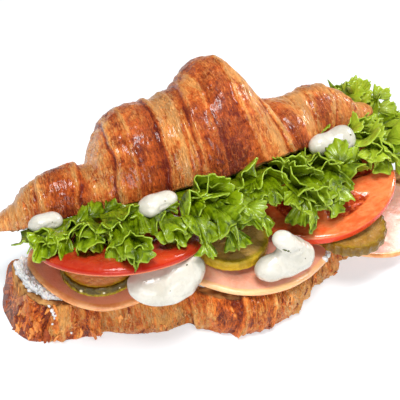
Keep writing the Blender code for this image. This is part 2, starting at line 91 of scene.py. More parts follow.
def lobe_profile(x, lobes, index, boxiness, stretch=1.0, blunt=0.0, crease=9):
    """The size at each x of a chain of rounded lobes, creased where they meet."""
    humps = 0
    for k, lobe in enumerate(lobes):
        half = lobe[1] if k in (0, len(lobes) - 1) else lobe[1] * stretch
        power = boxiness + blunt if k == 0 else boxiness
        reach = np.clip(1 - np.abs((x - lobe[0]) / half) ** power, 0, None)
        humps = humps + np.maximum(lobe[index] * reach ** (1 / power), 1e-6) ** crease
    return humps ** (1 / crease)


def half_outline(half, high, around, flat, tuck, power):
    """Side and height of each ring of a croissant half: over the domed crust, back along the cut face."""
    turn = np.linspace(-tuck, math.pi + tuck, around + 1)
    side, up = (np.sign(wave) * np.abs(wave) ** (2 / power) for wave in (np.cos(turn), np.sin(turn)))
    across = half * side[0] * (1 - 2 * np.arange(1, flat) / flat)
    return np.concatenate([stack(-half * side, high * (up - up[0]) / (1 - up[0])), stack(across, 0)], axis=1)


def crust_ways(points, around, lip, ends):
    """The way round each ring from its start, where the knife went, and a fade to nothing at the two ends."""
    rows = len(points)
    step = np.linalg.norm(np.diff(points, axis=1), axis=2)
    arc = np.concatenate([np.zeros((rows, 1)), np.cumsum(step, axis=1)], axis=1)
    cut = np.zeros(arc.shape)
    cut[:, around + 1 :] = 1
    cut[:, [0, around]] = lip
    return arc, cut, np.clip(np.minimum(np.arange(rows), np.arange(rows)[::-1]) / ends, 0, 1)[:, None]


def layer_steps(x, share, seams, seed):
    """Relief that the dough layers' edges add at x, a share of the way round, and their painted shadow and
    highlight.
    """
    relief, brown = np.zeros_like(x), np.zeros_like(x)
    for k, (rim, middle, top, deep, dark) in enumerate(seams):
        line = np.interp(share, (0, 0.25, 0.5), (rim, middle, top))
        line = line + 1.1 * grain(seed, share * 9 + 7 * k, 0.5)
        past = (x - line) * (-1 if k % 2 else 1)
        relief += deep * (1 / (1 + np.exp(-past / 0.22)) - 1) * np.exp(-np.clip(-past, 0, None) / 4.0)
        relief += 0.45 * deep * np.exp(-((past - 0.8) ** 2) / 0.9)
        # Painted shadow just below each step, a fainter, wider painted shade further down, and a painted
        # highlight above.
        brown += dark * 0.40 * np.exp(-((past + 0.50) ** 2) / 0.35)
        brown += dark * 0.10 * np.exp(-((past + 1.5) ** 2) / 6.0) - 0.24 * np.exp(-((past - 0.9) ** 2) / 1.1)
    return relief, brown


def raised(points, height):
    """Rings of points moved off their skin by a height."""
    along = np.gradient(points, axis=0)
    out = np.cross(np.roll(points, -1, axis=1) - np.roll(points, 1, axis=1), along)
    out /= np.maximum(np.linalg.norm(out, axis=2, keepdims=True), 1e-9)
    outward = np.sign(((points - points.mean(axis=1, keepdims=True)) * out).sum())
    return points + out * outward * height[..., None]


@contextlib.contextmanager
def reworked(mesh):
    """An editable copy of a mesh that is written back to it."""
    shape = bmesh.new()
    shape.from_mesh(mesh)
    yield shape
    shape.to_mesh(mesh)
    shape.free()


def add_object(name, data):
    made = bpy.data.objects.new(name, data)
    bpy.context.scene.collection.objects.link(made)
    return made


def give_values(mesh, values):
    """Stores numbers or directions at a mesh's corners, for materials and copies to read."""
    for label, numbers in values.items():
        kind, key = ("FLOAT_VECTOR", "vector") if numbers.ndim > 1 else ("FLOAT", "value")
        mesh.attributes.new(label, kind, "POINT").data.foreach_set(key, numbers.astype(np.float32).ravel())


def add_piece(name, points, faces, finish, values, layout):
    """An object from points in millimetres, its faces outward, with named values for its material to read."""
    mesh = bpy.data.meshes.new(name)
    mesh.from_pydata(((points + SHIFT) * MM).tolist(), [], faces)
    if layout is not None:
        corners = np.zeros(len(mesh.loops), np.int32)
        mesh.loops.foreach_get("vertex_index", corners)
        mesh.uv_layers.new(name="UVMap").data.foreach_set("uv", layout[corners].astype(np.float32).ravel())
    give_values(mesh, values)
    with reworked(mesh) as shape:
        if shape.calc_volume(signed=True) < 0:
            bmesh.ops.reverse_faces(shape, faces=shape.faces)
    mesh.shade_smooth()
    mesh.materials.append(finish)
    return add_object(name, mesh)


def sheet_faces(rows, columns, first=0, closed=False):
    """Corner indices of a grid of points, joined round each row if it is closed."""
    i, j = np.meshgrid(np.arange(rows - 1), np.arange(columns - 1 + closed), indexing="ij")
    a, b = first + i * columns + j, first + i * columns + (j + 1) % columns
    return np.stack([a, b, b + columns, a + columns], axis=-1).reshape(-1, 4).tolist()


def ring_piece(name, rings, finish, values=None, layout=None):
    """A piece from closed rings and a point at either end; a value is a number, or an array and two ends."""

    def ended(grid):
        return np.concatenate([grid.reshape(-1, grid.shape[-1]), grid[[0, -1]].mean(axis=1)])

    rows, columns = rings.shape[:2]
    last, faces = (rows - 1) * columns, sheet_faces(rows, columns, closed=True)
    for j in range(columns):
        faces.append([rows * columns, (j + 1) % columns, j])
        faces.append([rows * columns + 1, last + j, last + (j + 1) % columns])
    filled = {}
    for label, value in (values or {}).items():
        array, *ends = value if isinstance(value, tuple) else (value, value, value)
        filled[label] = np.append(array + np.zeros((rows, columns)), ends)
    return add_piece(name, ended(rings), faces, finish, filled, None if layout is None else ended(layout))


class Tone:
    """A value or colour in a material being mixed, so that its maths reads as a formula."""

    def __init__(self, tree, socket):
        self.tree, self.socket = tree, socket

    def node(self, kind, settings=None, sockets=None, out=0):
        """Any other node: its kind, then its settings, then values or links for its sockets."""
        made = self.tree.nodes.new("ShaderNode" + kind)
        for label, value in (settings or {}).items():
            setattr(made, label, value)
        for label, value in (sockets or {}).items():
            if isinstance(value, Tone):
                self.tree.links.new(value.socket, made.inputs[label])
            else:
                made.inputs[label].default_value = value
        return Tone(self.tree, made.outputs[out])

    def maths(self, operation, a, b=0.0):
        return self.node("Math", {"operation": operation}, {0: a, 1: b})

    def __add__(self, other):
        return self.maths("ADD", self, other)

    def __mul__(self, other):
        return self.maths("MULTIPLY", self, other)

    def __sub__(self, other):
        return self.maths("SUBTRACT", self, other)

    def __rsub__(self, other):
        return self.maths("SUBTRACT", other, self)

    __radd__ = __add__

    def away(self, middle):
        """How far from a middle value."""
        return self.maths("ABSOLUTE", self - middle)

    def between(self, low, high, start=0.0, end=1.0):
        """Start below low, end above high, and a soft ramp in between."""
        sockets = {0: self, 1: low, 2: high, 3: start, 4: end}
        return self.node("MapRange", {"interpolation_type": "SMOOTHSTEP"}, sockets)

    def blend(self, first, second):
        """The first colour where this is 0, the second where it is 1."""
        first, second = (c if isinstance(c, Tone) else (*c, 1) for c in (first, second))
        return self.node("Mix", {"data_type": "RGBA"}, {0: self, 6: first, 7: second}, out=2)

    def coloured(self, *stops):
        """The colour that each value has along a row of stops: place and colour."""
        made = self.node("ValToRGB", {}, {0: self})
        ends = made.socket.node.color_ramp.elements
        while len(ends) < len(stops):
            ends.new(1)
        for end, (place, colour) in zip(ends, stops):
            end.position, end.color = place, (*colour, 1)
        return made

    def given(self, label):
        """A value stored in the mesh."""
        return self.node("Attribute", {"attribute_name": label}, out=2)

    def speckle(self, place, scale, detail=3.0, roughness=0.55, distortion=0.0):
        """Soft random patches from 0 to 1 over a place; scale is how many per unit."""
        sockets = {"Vector": place, "Scale": scale, "Detail": detail, "Roughness": roughness}
        return self.node("TexNoise", {}, {**sockets, "Distortion": distortion})

    def cells(self, place, scale, **settings):
        return self.node("TexVoronoi", settings, {"Vector": place, "Scale": scale})

    def stretched(self, place, sizes):
        return self.node("Mapping", {}, {"Vector": place, "Scale": sizes})


def new_finish(name, **fixed):
    """A material with its uniform values, the start of its formulas, and the place in the object."""
    finish = bpy.data.materials.new(name)
    finish.use_nodes = True
    for label, value in fixed.items():
        finish.node_tree.nodes["Principled BSDF"].inputs[label.replace("_", " ")].default_value = value
    here = Tone(finish.node_tree, None)
    return finish, here, here.node("TexCoord", out=3)


def wire(finish, relief, **links):
    """Joins formulas to the surface shader; relief is the height of a bump in metres."""
    if relief is not None:
        links["Normal"] = relief.node("Bump", {}, {"Height": relief, "Distance": 1.0, "Strength": 1.0})
    for label, value in links.items():
        shader = finish.node_tree.nodes["Principled BSDF"]
        finish.node_tree.links.new(value.socket, shader.inputs[label.replace("_", " ")])
    return finish


def crust_finish(name, pale, middle, dark, gloss, contrast, smoothed, crackle):
    """Baked crust and torn crumb; bake sets how brown, with painted light and shade in it, cut where the knife
    went, rib where ribs stand.
    """
    finish, here, place = new_finish(
        name,
        Specular_IOR_Level=0.25,
        Coat_Roughness=0.13,
        Sheen_Weight=0.10,
        Sheen_Roughness=0.45,
        Sheen_Tint=(1.0, 0.58, 0.32, 1),
    )
    bake, cut, rib = here.given("bake"), here.given("cut"), here.given("rib")
    layout = here.node("UVMap", {"uv_map": "UVMap"})
    streak, fibre, wave, strand, split = (
        here.speckle(here.stretched(layout, (across, along, 1.0)), 1.0, *settings)
        for across, along, *settings in (
            (1500.0, 260.0, 4.0, 0.65, 0.6),
            (2300.0, 620.0, 3.0, 0.65, 0.8),
            (560.0, 240.0, 4.0, 0.7, 1.5),
            (760.0, 88.0, 2.0, 0.5, 0.5),
            (430.0, 62.0, 3.0, 0.6, 0.6),
        )
    )
    patch = here.speckle(place, 85.0, 5.0, 0.6, 0.8)
    freckle = here.speckle(place, 700.0, 5.0, 0.7, 0.6)
    wrinkle = (1 - (wave.away(0.5) * 22.0).between(0.0, 1.0)) * patch.between(0.36, 0.56)
    pale_strand = strand.away(0.5).between(0.015, 0.055, 1.0, 0.0)
    gap = split.away(0.5).between(0.006, 0.030, 1.0, 0.0) * patch.between(0.35, 0.55)
    frayed = bake.between(0.32, 0.62, 1.0, smoothed)
    mottle = (streak - 0.5) * 0.9 + (fibre - 0.5) * 0.8 + (patch - 0.5) * 1.3 + (freckle - 0.5) * 0.8
    brown = bake + mottle * contrast * bake.between(0.15, 0.55, 0.66, 1.0) - (rib - 0.3) * 0.26 * contrast
    # The wrinkle lines are painted paler: partly the glaze's own pale hairlines, partly painted glints along
    # them.
    brown = brown - wrinkle * 0.30 + (gap * 0.20 - pale_strand * 0.28) * frayed
    warp = here.node("TexNoise", {}, {"Vector": place, "Scale": 330.0, "Detail": 2.0}, out=1)
    cells = here.stretched(layout, (560.0, 150.0, 1.0))
    cells = here.node("VectorMath", {"operation": "MULTIPLY_ADD"}, {0: warp, 1: (1.6, 1.6, 0.0), 2: cells})
    crack = here.cells(cells, 1.0, feature="DISTANCE_TO_EDGE", voronoi_dimensions="2D")
    flaked = crack.between(0.0, 0.13, 1.0, 0.0) * patch.between(0.42, 0.60)
    scorch = here.speckle(place, 210.0, 4.0, 0.65, 0.8).between(0.50, 0.64)
    brown = brown + scorch * (0.26 * contrast) - flaked * crackle
    lighter = tuple(0.5 * a + 0.5 * b for a, b in zip(pale, middle))
    deeper = tuple(0.55 * a + 0.45 * b for a, b in zip(middle, dark))
    paler = (1.0, 1.22 * pale[1], 1.6 * pale[2])
    stops = (0.0, paler), (0.15, pale), (0.33, lighter), (0.52, middle), (0.74, deeper), (1.0, dark)
    skin = brown.coloured(*stops)
    # Painted glint: on the paler crust the crackle lines are whitened to a pale peach.
    skin = (flaked * bake.between(0.15, 0.65, 0.50, 0.04)).blend(skin, (1.0, 0.66, 0.36))
    hole = here.cells(here.stretched(place, (1.0, 1.6, 2.2)), 260.0, feature="SMOOTH_F1")
    crumb = (hole + (patch - 0.5) * 0.5).between(0.15, 0.75).blend((0.26, 0.085, 0.018), (0.72, 0.38, 0.12))
    relief = streak * 0.0009 + fibre * 0.0005 + freckle * 0.0010 + wrinkle * 0.00030
    relief = relief + (pale_strand - gap) * frayed * 0.00050 + flaked * 0.00032
    return wire(
        finish,
        relief * (1 - cut) + hole * cut * -0.0011,
        Base_Color=cut.blend(skin, crumb),
        Roughness=freckle.between(0.3, 0.7, 0.30, 0.55) + cut * 0.3,
        Coat_Weight=(1 - cut) * freckle.between(0.40, 0.60, 0.15, 1.0) * gloss,
    )


# Colours of the crust where it is pale, well baked and dark
BASE_COLOURS = (1.0, 0.365, 0.066), (0.86, 0.165, 0.014), (0.18, 0.013, 0.002)
# Each lobe: its middle, half its length and half its width
BASE_LOBES = ((-58.5, 21, 19), (-24, 26, 25), (9, 28, 40), (35, 22.5, 26.5), (68, 23, 18), (90, 18, 10))
# Each layer edge: place at the rim, half way down and at the foot, depth of its step, how dark its shadow is
BASE_SEAMS = (
    (-75.5, -76.5, -76.0, 1.1, 0.5), (-69.5, -71.0, -72.5, 0.9, 0.9), (-65.0, -64.5, -66.5, 1.3, -0.3),
    (-60.5, -62.5, -64.0, 0.7, 0.3), (-53.5, -54.0, -55.0, 0.9, 1.2), (-49.0, -49.5, -50.5, 2.0, -0.8),
    (-17.5, -16.5, -15.5, 2.0, 0.5), (-9.0, -12.0, -15.0, 0.6, -0.4), (-1.0, -2.5, -4.5, 1.6, 0.9),
    (13.0, 12.0, 9.0, 0.8, 0.6), (26.0, 24.0, 21.0, 0.9, -0.5), (41.0, 38.0, 35.0, 0.9, 0.4),
    (57.0, 55.0, 52.0, 0.8, -0.4), (74.0, 72.0, 70.0, 0.8, 0.5), (88.0, 87.0, 86.0, 0.6, -0.3),
)
# How brown the crust is along the base, from its left tip to its right tip; in the middle, under the overhang
# of the ham, it is set paler as painted light against the ham's shade
BASE_BROWNING = (
    (-79, 0.92), (-74, 0.96), (-68, 0.88), (-64, 0.42), (-56, 0.36), (-54, 0.66), (-51, 0.70), (-49, 0.30),
    (-44, 0.38), (-38, 0.42), (-30, 0.26), (-26, 0.14), (-19, 0.12), (-16.5, 0.46), (-12, 0.70), (-6, 0.80),
    (-2, 0.70), (2, 0.72), (8, 0.70), (14, 0.38), (20, 0.12), (30, -0.02), (40, 0.0), (60, 0.08), (80, 0.20),
    (105, 0.25),
)


def base_lie(x):
    """Height of the lower half's cut face, and how far the half bends away, at each x."""
    low = ramp(x, 8, 50)
    return 17 - 6 * low * low * (3 - 2 * low), -3 + 26 * ((x - 8) / 95) ** 2 * 0.55


# Rings along the half, and the points of each over its crust and across its cut face
stations, around, flat = 430, 138, 50
share = np.linspace(0, 1, stations)[:, None]
eased = 0.3 * (0.5 - 0.5 * np.cos(math.pi * share)) + 0.7 * share
left, right = BASE_LOBES[0][0] - BASE_LOBES[0][1], BASE_LOBES[-1][0] + BASE_LOBES[-1][1]
x = left + (right - left) * (0.004 + 0.992 * eased)
half = lobe_profile(x, BASE_LOBES, 2, boxiness=2.6, blunt=0.7)
rim, bend = base_lie(x)
high = np.minimum(1.4 * rim, 5 + 1.3 * half)
outline = half_outline(half, high, around, flat, tuck=math.radians(33), power=2.6)
z = np.maximum(rim - outline[..., 1], 0)
points = stack(x + 7 * ramp(x, -58, -80) ** 2 * z / rim, bend + outline[..., 0], z)
arc, cut, fade = crust_ways(points, around, lip=0.6, ends=14)
x = points[..., 0]
down = np.minimum(arc, np.maximum(arc[:, around : around + 1] - arc, 0))
relief, brown = layer_steps(x, np.clip(down / 44.0, 0, 0.5), BASE_SEAMS, seed=3)
slant = x + 0.20 * down * ramp(x, -17, -7) * ramp(x, 20, 10) - 0.08 * down + 0.45 * down * ramp(x, -52, -66)
rib = ridges(5, slant * 0.36, arc * 0.045) + 0.9 * ridges(6, slant * 0.85, arc * 0.07)
lumps = grain(7, points * 0.09) + 0.5 * grain(8, points * 0.22)
flaky = 3 * (grain(9, slant * 0.30, arc * 0.10) + 0.4 * grain(12, slant * 0.8, arc * 0.3))
plates = (np.floor(flaky) + ramp(flaky - np.floor(flaky), 0.42, 0.58)) / 3
ragged = 0.45 + 0.55 * ramp(x, -46, -58) + 0.35 * ramp(x, 20, 34)
relief = relief * 1.35 + 0.70 * rib + 0.4 * lumps + 1.35 * ragged * plates
crumb = grain(10, points * 0.5) * 0.6 + grain(11, points * 1.1) * 0.4
on_table = 0.35 + 0.65 * np.clip(points[..., 2] / 2.0, 0, 1)
points = raised(points, np.where(cut > 0.7, crumb, relief * on_table) * fade)
points[..., 2] = np.maximum(points[..., 2], 0)
bake = np.interp(slant + 1.2 * grain(14, arc * 0.15, x * 0.05), *zip(*BASE_BROWNING))
bands = grain(15, slant * 0.34, arc * 0.03) + 0.6 * grain(16, slant * 0.75, arc * 0.05)
# The layer steps' painted shadow and highlight are added to how brown the crust is.
bake = bake + bands * (0.10 + 0.34 * ramp(x, -54, -60)) + 1.1 * brown + 0.10 * lumps
bake = np.clip(bake - 0.22 * ragged * plates + 0.10 * grain(13, slant * 0.5, arc * 0.2), 0, 1)
croissant_base = ring_piece(
    "base_baked_half",
    points,
    crust_finish("baked_crust_base", *BASE_COLOURS, gloss=0.30, contrast=0.9, smoothed=0.8, crackle=0.52),
    {"bake": (bake, 0.5, 0.5), "cut": (cut, 0, 0), "rib": (rib, 0, 0)},
    stack(slant, arc) / 1000,
)
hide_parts("croissant_base")
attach(croissant_base, "root")


# Upper croissant half
# The top of the same pastry, propped open on the filling with its cut face down and its front edge raised.
# Tall glazed lobes meet in dark creases; beside each crease the layer edges show as pale, fine-ribbed bands.

# Colours of the crust where it is pale, well baked and dark
LID_COLOURS = (0.98, 0.370, 0.082), (0.68, 0.118, 0.011), (0.19, 0.012, 0.002)
# Each lobe: its middle, half its length, half its width and its height
LID_LOBES = (
    (-62, 14, 8, 8.5), (-46, 22, 11, 17.7), (-13, 24, 22, 34.6), (5, 14, 26, 35.5),
    (20.5, 17.5, 26, 44.3), (42.5, 13, 22, 20.3), (62, 23, 12, 20), (79, 17, 10, 7.5),
)
# Each layer edge: place at the rim, half way up and on top, depth of its step, how dark its shadow is
LID_SEAMS = (
    (-58.0, -57.0, -56.0, 0.6, 0.3), (-43.5, -41.5, -40.0, 1.1, 0.9), (-30.6, -27.8, -26.3, 0.9, 1.1),
    (-22.0, -20.0, -18.0, 0.4, 0.2), (-11.0, -9.0, -7.8, 1.1, 1.2), (-2.4, -1.2, 1.4, 0.6, 0.5),
    (1.3, 2.3, 7.0, 1.3, 0.8), (12.0, 10.0, 12.0, 0.4, 0.5), (24.6, 21.0, 24.0, 0.6, 0.2),
    (30.0, 27.0, 27.5, 0.5, -0.2), (33.5, 33.5, 33.0, 1.3, 1.4), (49.0, 48.5, 53.0, 0.8, 0.6),
    (58.0, 60.0, 61.0, 0.5, 0.4), (66.0, 71.0, 72.0, 0.8, 0.3), (80.0, 81.0, 82.0, 0.4, 0.2),
)
# How brown the crust is along the lid, from its left tip to its right tip; the left tip is set pale as painted
# light on its end, which turns away from the lamps
LID_BROWNING = (
    (-78, 0.16), (-66, 0.18), (-60, 0.24), (-56, 0.34), (-52, 0.64), (-48, 0.76), (-43, 0.64), (-38, 0.36),
    (-29, 0.34), (-26, 0.58), (-16, 0.66), (-10, 0.64), (-7, 0.32), (-2, 0.22), (1, 0.22), (3, 0.60),
    (9, 0.70), (16, 0.72), (20, 0.68), (23, 0.62), (27, 0.44), (30, 0.24), (32, 0.16), (34, 0.22), (36, 0.50),
    (38, 0.70), (44, 0.62), (48, 0.34), (51, 0.14), (54, 0.12), (57, 0.16), (61, 0.54), (68, 0.36),
    (72, 0.24), (80, 0.26), (95, 0.22),
)


# How far the lid is tipped back and to its left on the filling, in degrees, and where it lies
LID_TILT, LID_PLACE = (-25, -3), (0, 16, 39)


def bell(x, middle, wide):
    return np.exp(-(((x - middle) / wide) ** 2))


def tipped(back, aside):
    """The turn of a piece that is tipped about the long way of the sandwich, then about its short way."""
    return np.array(Euler((math.radians(back), math.radians(aside), 0)).to_matrix()).T


# Rings along the half, and the points of each over its crust and across its cut face
stations, around, flat = 440, 156, 48
left, right = LID_LOBES[0][0] - LID_LOBES[0][1], LID_LOBES[-1][0] + LID_LOBES[-1][1]
x = left + (right - left) * (0.006 + 0.988 * np.linspace(0, 1, stations)[:, None])
half = lobe_profile(x, LID_LOBES, 2, boxiness=2, stretch=1.35)
high = lobe_profile(x, LID_LOBES, 3, boxiness=2.1)
y, z = np.moveaxis(half_outline(half, high, around, flat, tuck=math.radians(14), power=2.15), -1, 0)
bend = 2 + 14 * np.clip((x - 10) / 94, 0, None) ** 2 + 11 * np.clip((-30 - x) / 50, 0, None) ** 2
fanned = 12 + (x - 12) * (1 + 0.003 * np.clip(-y, 0, None))
points = stack(fanned + 6.0 * ramp(z, 24, 0) * bell(x, 34, 10) * ramp(y, 0, -12), bend + y, z)
arc, cut, fade = crust_ways(points, around, lip=0.5, ends=16)
share = arc / arc[:, around : around + 1]
x = np.broadcast_to(x, arc.shape)
relief, brown = layer_steps(x, np.clip(share, 0, 0.5), LID_SEAMS, seed=21)
bake = np.interp(x + 1.2 * grain(24, arc * 0.12, x * 0.05), *zip(*LID_BROWNING))
pale = ramp(bake, 0.45, 0.20)
rib = (ridges(25, x * 0.5, arc * 0.03) + 0.8 * ridges(26, x * 1.0, arc * 0.07)) * (0.25 + 0.75 * pale)
shake = 0.5 * grain(32, points * 0.3)
wrinkle = ridges(33, x * 0.55 + shake, arc * 0.22 + shake) * (1 - pale)
lumps = grain(27, points * 0.08) + 0.5 * grain(28, points * 0.2)
blister = np.clip(grain(29, points * 0.35) - 0.1, 0, None)
relief = relief + 0.45 * rib + 0.22 * wrinkle + 0.45 * lumps + 0.5 * blister * (1 - pale)
crumb = grain(30, points * (0.35, 0.6, 0.6)) * 0.8 + grain(31, points * 1.1) * 0.35
points = raised(points, np.where(cut > 0.7, crumb, relief) * fade)
# The layer steps' painted shadow and highlight are added to how brown the crust is.
bake = bake + brown * 1.15 + 0.10 * lumps + 0.12 * blister - 0.05 * wrinkle
# Painted light and shade: the crust is set browner low at the front and paler over the top, as light from
# above falls on it.
bake = bake + 0.10 * ramp(share, 0.3, 0) - 0.20 * ramp(share, 0.26, 0.42)
croissant_lid = ring_piece(
    "lid_glazed_half",
    points @ tipped(*LID_TILT) + LID_PLACE,
    crust_finish("baked_crust_lid", *LID_COLOURS, gloss=0.62, contrast=0.92, smoothed=0.32, crackle=0.24),
    {"bake": (np.clip(bake, 0, 1), 0.3, 0.3), "cut": (cut, 0, 0), "rib": (rib, 0, 0)},
    stack(x, arc) / 1000,
)
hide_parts("croissant_lid")
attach(croissant_lid, "root")


# Cream cheese
# A thick spread of crumbly white cheese over the lower cut face, put on with a knife before the ham.
# It only shows at the left end, where it is heaped and torn, and as a smear along the front edge.

# Where the spread starts at the left, how far along it runs, how far it stays back from the rim, how far it
# stands off the cut face, and its thinnest and usual thickness
START, SPREAD, INSET, LIFT, THINNEST, USUAL = -72.5, 152, 4.5, 0.4, 0.25, 2.0

# Rings along the spread, each with as many points across its top as below
stations, across = 300, 90
t, share = np.linspace(0, 1, stations)[:, None], np.linspace(-1, 1, across)
x = START + SPREAD * t**1.6
rim, bend = base_lie(x)
half = lobe_profile(x, BASE_LOBES, 2, boxiness=2.6, blunt=0.7) - INSET
half = half * (0.93 + 0.05 * np.sin(22 * (x - START) / SPREAD))
half = half - 1.6 * bell(x, START, 9) + 1.9 * bell(x, -52, 14)
half = half - 1.8 * ramp(x, -42, -34) - 2.6 * bell(x, -4, 20)
torn = grain(41, x * 0.35, share * 2.0) * 1.6
y = bend + half * share + torn * share**3
x = x + (0.2 - 1.3 * torn + 1.5 * share**2) * np.exp(-(x - START) / 6)
under_ham = ((x + 31) / 37) ** 2 + ((y - 6) / 32) ** 2
bare = ramp(under_ham, 0.99, 1.11) * ramp(x, -30, -40)
near = stack(x, y)
crumbly = grain(42, near * 0.30) * 0.6 + grain(43, near * 0.70) * 0.7
crumbly = crumbly + np.abs(grain(44, near * 1.1)) * 1.3 - 0.4
ends = np.clip(np.minimum(t, 1 - t) * 40, 0, 1)
thick = USUAL * (1 - 0.45 * np.abs(share) ** 6) + 1.6 * bell(x, -65, 8) * bell(y, 1, 8)
thick = thick + bare * (1.6 + 1.7 * crumbly)
thick = np.maximum(thick, THINNEST) * (0.3 + 0.7 * ends) * (1 - 0.65 * np.abs(share) ** 14)
top, bottom = (stack(x, y, rim + LIFT + high) for high in (thick, 0))

cheese, here, place = new_finish(
    "cream_cheese",
    Roughness=0.55,
    Subsurface_Weight=0.25,
    Subsurface_Radius=(1.0, 0.7, 0.5),
    Subsurface_Scale=0.002,
)
curd = here.speckle(place, 900.0, 4.0, 0.65)
shade = here.speckle(place, 220.0, 3.0)
herb = here.speckle(place, 420.0, 1.0).between(0.70, 0.78)
tint = (shade + (curd - 0.5) * 0.5).between(0.25, 0.7).blend((0.93, 0.91, 0.87), (1.0, 0.99, 0.97))
wire(cheese, curd * 0.0011 + shade * 0.0006, Base_Color=(herb * 0.6).blend(tint, (0.30, 0.26, 0.18)))
cheese_spread = ring_piece("cheese_spread_lumps", np.concatenate([top, bottom[:, ::-1]], axis=1), cheese)
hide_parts("cheese_spread")
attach(cheese_spread, "root")


# Ham slices
# Three thin round slices of cooked pork ham, laid side by side over the cheese so that they overlap.
# The meat is pale pink and moist; its pressed rind shows all round as a darker orange edge.

# Each slice: node, middle, radii, how much painted shade turns its meat a darker orange, and how fatty its
# rind
HAM_SLICES = (
    ("ham_left", (-31, 6), (37, 32), 0.7, 0.0),
    ("ham_middle", (15, -5), (37, 36), 0.4, 0.7),
    ("ham_right", (66, -5), (34, 27), 0.2, 0.0),
)
# Points round a slice, rings from its middle to its rim, how thick it is, and the rings of its rind: how far
# each lies under the top and how far it bulges
SPOKES, RINGS, HAM_THICK, RIND = 160, 34, 1.85, ((0.55, 0.30), (1.0, 0.42), (1.45, 0.30))


def surface(piece):
    """A search tree over a CAD solid or a finished piece, in millimetres before the shift."""
    spots = [Vector(np.array(v.co) / MM - SHIFT) for v in piece.data.vertices]
    return BVHTree.FromPolygons(spots, [tuple(f.vertices) for f in piece.data.polygons])


ham, here, place = new_finish(
    "cooked_ham",
    Specular_IOR_Level=0.5,
    Subsurface_Weight=0.25,
    Subsurface_Radius=(1.0, 0.35, 0.2),
    Subsurface_Scale=0.003,
    Coat_Roughness=0.2,
)
meat = here.speckle(place, 110.0, 4.0, 0.6)
grainy = here.speckle(place, 750.0, 3.0, 0.6)
flesh = (meat + (grainy - 0.5) * 0.35).between(0.30, 0.72).blend((0.80, 0.36, 0.26), (0.90, 0.55, 0.44))
# Painted shade: the meat is turned a darker orange, most on the left slice, which lies in shade under the
# tomato.
flesh = here.given("warm").blend(flesh, (0.84, 0.30, 0.15))
edge = (meat + (grainy - 0.5) * 0.6).between(0.3, 0.7).blend((0.78, 0.28, 0.080), (0.92, 0.46, 0.18))
edge = here.given("fatty").blend(edge, (0.92, 0.55, 0.27))
wire(
    ham,
    grainy * 0.00022 + meat * 0.0003,
    Base_Color=here.given("rind").between(0.25, 0.75).blend(flesh, edge),
    Roughness=grainy.between(0.3, 0.7, 0.28, 0.45),
    Coat_Weight=meat.between(0.3, 0.7, 0.5, 0.15),
)
for node, middle, radii, warm, fatty in HAM_SLICES:
    turn = np.linspace(0, 2 * math.pi, SPOKES, endpoint=False)
    phase = middle[0] * 0.1
    share = np.linspace(0.03, 1, RINGS)[:, None]
    reach = share * (1 + 0.025 * np.sin(3 * turn + phase) + 0.015 * np.sin(5 * turn + 2 * phase))
    slice_top = surface(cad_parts[node])
    side = stack(radii[0] * reach * np.cos(turn), radii[1] * reach * np.sin(turn))
    x, y = np.moveaxis(middle + side, -1, 0)
    inside = middle + side * np.minimum(1, 0.985 / share)[..., None]
    top = np.zeros_like(x)
    for i, k in np.ndindex(x.shape):
        hit = slice_top.ray_cast(Vector((*inside[i, k], 200)), Vector((0, 0, -1)))[0]
        top[i, k] = top[i - 1, k] if hit is None else hit.z
    for _ in range(4):
        top = 0.5 * top + 0.25 * (np.roll(top, 1, axis=1) + np.roll(top, -1, axis=1))
        top[1:-1] = 0.5 * top[1:-1] + 0.25 * (top[:-2] + top[2:])
    ripple = 0.22 * grain(51, x * 0.12, y * 0.12) + 0.10 * grain(52, x * 0.5, y * 0.5)
    rim = np.linspace(0, 1, RINGS)[:, None]
    upper = stack(x, y, top + ripple * (1 - rim**14) - 0.35 * rim**14)
    wall = []
    for drop, out in RIND:
        swell = (out + 0.18 * grain(53, turn * 9, drop))[:, None]
        wall.append(upper[-1] + stack(np.cos(turn), np.sin(turn), 0) * swell - (0, 0, drop))
    lower = upper[::-3] - (0, 0, HAM_THICK)
    rind = np.concatenate([(rim[:, 0] > 0.965) * 0.8, np.ones(len(RIND)), np.full(len(lower), 0.4)])[:, None]
    piece = ring_piece(
        node + "_slice",
        np.concatenate([upper, wall, lower]),
        ham,
        {"rind": (rind, 0, 0.4), "warm": warm, "fatty": fatty},
    )
    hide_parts(node)
    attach(piece, "root")


# Pickle slices
# Three thick slices of pickled cucumber, dropped on the ham. The skin is dark olive and warty,
# the flesh inside is yellow and see-through round a core of small pale seeds.

# Each slice: node, middle, radius, tilt, depth of its flutes, how ripe it is, with its side painted lighter
# and its face painted in shade, and how browned it is, partly painted shade against the window's light
PICKLES = (
    ("pickle_left", (-45, -6), 15.0, (6, -2), 0.006, 0.0, 0.0),
    ("pickle_middle", (5, -17), 14.5, (4, -3), 0.006, 1.0, 0.0),
    ("pickle_right", (54, -24), 15.0, (8, -2), 0.020, 0.0, 1.0),
)
# Rings of points on a slice: over its flat top, round each edge, down its side, and under it
TOP_RINGS, EDGE_RINGS, SIDE_RINGS, UNDER_RINGS = 40, 8, 4, 10
# How thick a slice is, how far from round, and the points round it
COIN_THICK, WOBBLE, AROUND = 4.5, 0.008, 168


